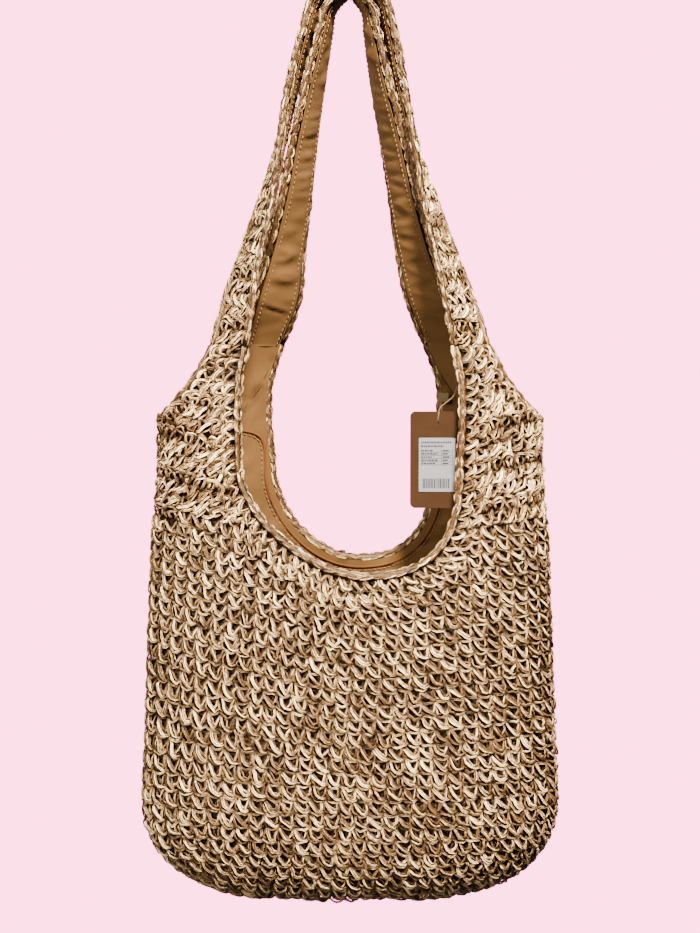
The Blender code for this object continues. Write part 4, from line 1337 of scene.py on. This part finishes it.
def make_string():
    """Two plies twisted round each other along the string's route, with a small knot."""
    route = smooth_curve(STRING_ROUTE, 160)
    along = lengths_along(route)
    sideways = np.array([0.0, 1.0, 0.0])
    tangent = unit(np.gradient(route, axis=0))
    first = unit(np.cross(tangent, sideways))
    second = np.cross(tangent, first)
    turn = along / TWINE_PITCH * 2 * math.pi
    section = round_section(7)
    points, faces = [], []
    for start in (0.0, math.pi):
        swing = np.cos(turn + start)[:, None] * first + np.sin(turn + start)[:, None] * second
        ply = route + PLY_OFFSET * swing
        heading = unit(np.gradient(ply, axis=0))
        side = unit(np.cross(heading, sideways))
        up = np.cross(heading, side)
        faces += capped_rings(len(ply), 7, len(points))
        for here, one, two in zip(ply, side, up):
            points += [here + PLY_RADIUS * (a * one + b * two) for a, b in section]
    twine = new_solid("tag_string_twine", points, faces, TWINE)
    place_on("tag", "hemp_string", "tag_string", twine)
    centre = np.array(STRING_ROUTE[2])
    knot_path = np.array([
        centre + 0.0011 * np.array([math.cos(step), math.sin(step), 0.0])
        + np.array([0, 0, 0.0004 * (step - 2 * math.pi)])
        for step in np.linspace(0, 4 * math.pi, 40)
    ])
    facing = np.broadcast_to(np.array([0.0, 0.0, 1.0]), knot_path.shape)
    knot = new_solid("tag_string_knot", tube_points(knot_path, 0.00055, round_section(7), facing),
                     capped_rings(len(knot_path), 7), TWINE)
    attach(knot, "tag")


def make_tape():
    """A folded loop of cotton tape whose top fold catches the light."""
    low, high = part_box("tape_loop")
    height, centre_y, centre_z = high[2] - low[2], (low[1] + high[1]) / 2, (low[2] + high[2]) / 2
    outline = [(centre_y + y, centre_z + z * height) for y, z in (
        (-0.0008, -0.5), (-0.0009, 0.0), (-0.0009, 0.40), (-0.0004, 0.50),
        (0.0004, 0.50), (0.0009, 0.40), (0.0009, 0.0), (0.0008, -0.5),
        (0.0003, -0.5), (0.0004, 0.0), (0.0003, 0.40), (-0.0003, 0.40),
        (-0.0004, 0.0), (-0.0003, -0.5))]
    points = [(x, y, z) for x in np.linspace(low[0], high[0], 5) for y, z in outline]
    loop = new_solid("tape_loop_fold", points, capped_rings(5, len(outline)), TAPE, smooth=False)
    place_on("pouch", "cotton_tape", "tape_loop", loop)


# Stage, lights and camera.


def make_stage():
    """A pale floor and a plain round backdrop, which don't tint the light on the bag."""
    floor_z = BASE_Z - 0.16
    reach, radius, rings, sides = 40.0, 30.0, 24, 48
    corners = [(-reach, -reach, floor_z), (reach, -reach, floor_z), (reach, reach, floor_z),
               (-reach, reach, floor_z)]
    points = [(0.0, 0.0, -radius), (0.0, 0.0, radius)]
    for ring in range(1, rings):
        down = math.pi * ring / rings - math.pi / 2
        for side in range(sides):
            turn = 2 * math.pi * side / sides
            points.append((radius * math.cos(down) * math.cos(turn),
                           radius * math.cos(down) * math.sin(turn), radius * math.sin(down)))
    faces = []
    last = 2 + (rings - 2) * sides
    for side in range(sides):
        there = (side + 1) % sides
        for low in range(2, last, sides):
            faces.append((low + there, low + side, low + side + sides, low + there + sides))
        faces.append((0, 2 + side, 2 + there))
        faces.append((1, last + there, last + side))
    shader = Shader("pale_backdrop")
    inputs = shader.surface.inputs
    inputs["Base Color"].default_value = (0.0, 0.0, 0.0, 1.0)
    inputs["Roughness"].default_value = 1.0
    inputs["Specular IOR Level"].default_value = 0.0
    inputs["Emission Color"].default_value = (*BACKDROP, 1.0)
    inputs["Emission Strength"].default_value = BACKDROP_STRENGTH
    for name, *shape in (("floor", corners, [(0, 1, 2, 3)]), ("backdrop", points, faces)):
        mesh = bpy.data.meshes.new(name)
        mesh.from_pydata(shape[0], [], shape[1])
        built = new_object(name, mesh, shader.material, smooth=False)
        built.visible_diffuse = False
        built.visible_glossy = False
        built.visible_shadow = False
    world = bpy.data.worlds.new("pale_room")
    world.use_nodes = True
    background = world.node_tree.nodes["Background"]
    background.inputs["Color"].default_value = (1.0, 0.97, 0.94, 1.0)
    background.inputs["Strength"].default_value = ROOM_LIGHT
    bpy.context.scene.world = world


def make_light(name, place, height, size, power, colour, glossy):
    """A round soft light that points at a height on the bag's middle line."""
    data = bpy.data.lights.new(name, "AREA")
    data.shape = "DISK"
    data.size = size
    data.energy = power
    data.color = colour
    lamp = bpy.data.objects.new(name, data)
    lamp.location = place
    direction = Vector((0.0, 0.0, height)) - Vector(place)
    lamp.rotation_euler = direction.to_track_quat("-Z", "Y").to_euler()
    lamp.visible_glossy = glossy
    bpy.context.scene.collection.objects.link(lamp)


def make_camera():
    data = bpy.data.cameras.new("camera")
    data.lens = CAMERA_LENS
    data.sensor_width = 36.0
    data.clip_start, data.clip_end = 0.05, 100.0
    camera = bpy.data.objects.new("camera", data)
    target = Vector(CAMERA_TARGET)
    back = Vector((0.0, -math.cos(CAMERA_ELEVATION), math.sin(CAMERA_ELEVATION)))
    camera.location = target + CAMERA_DISTANCE * back
    camera.rotation_euler = (-back).to_track_quat("-Z", "Y").to_euler()
    bpy.context.scene.collection.objects.link(camera)
    bpy.context.scene.camera = camera


make_camera()
make_tag()
make_pouch()
make_handle("front")
make_handle("back")
make_tape()
make_stage()
for light in LIGHTS:
    make_light(*light)
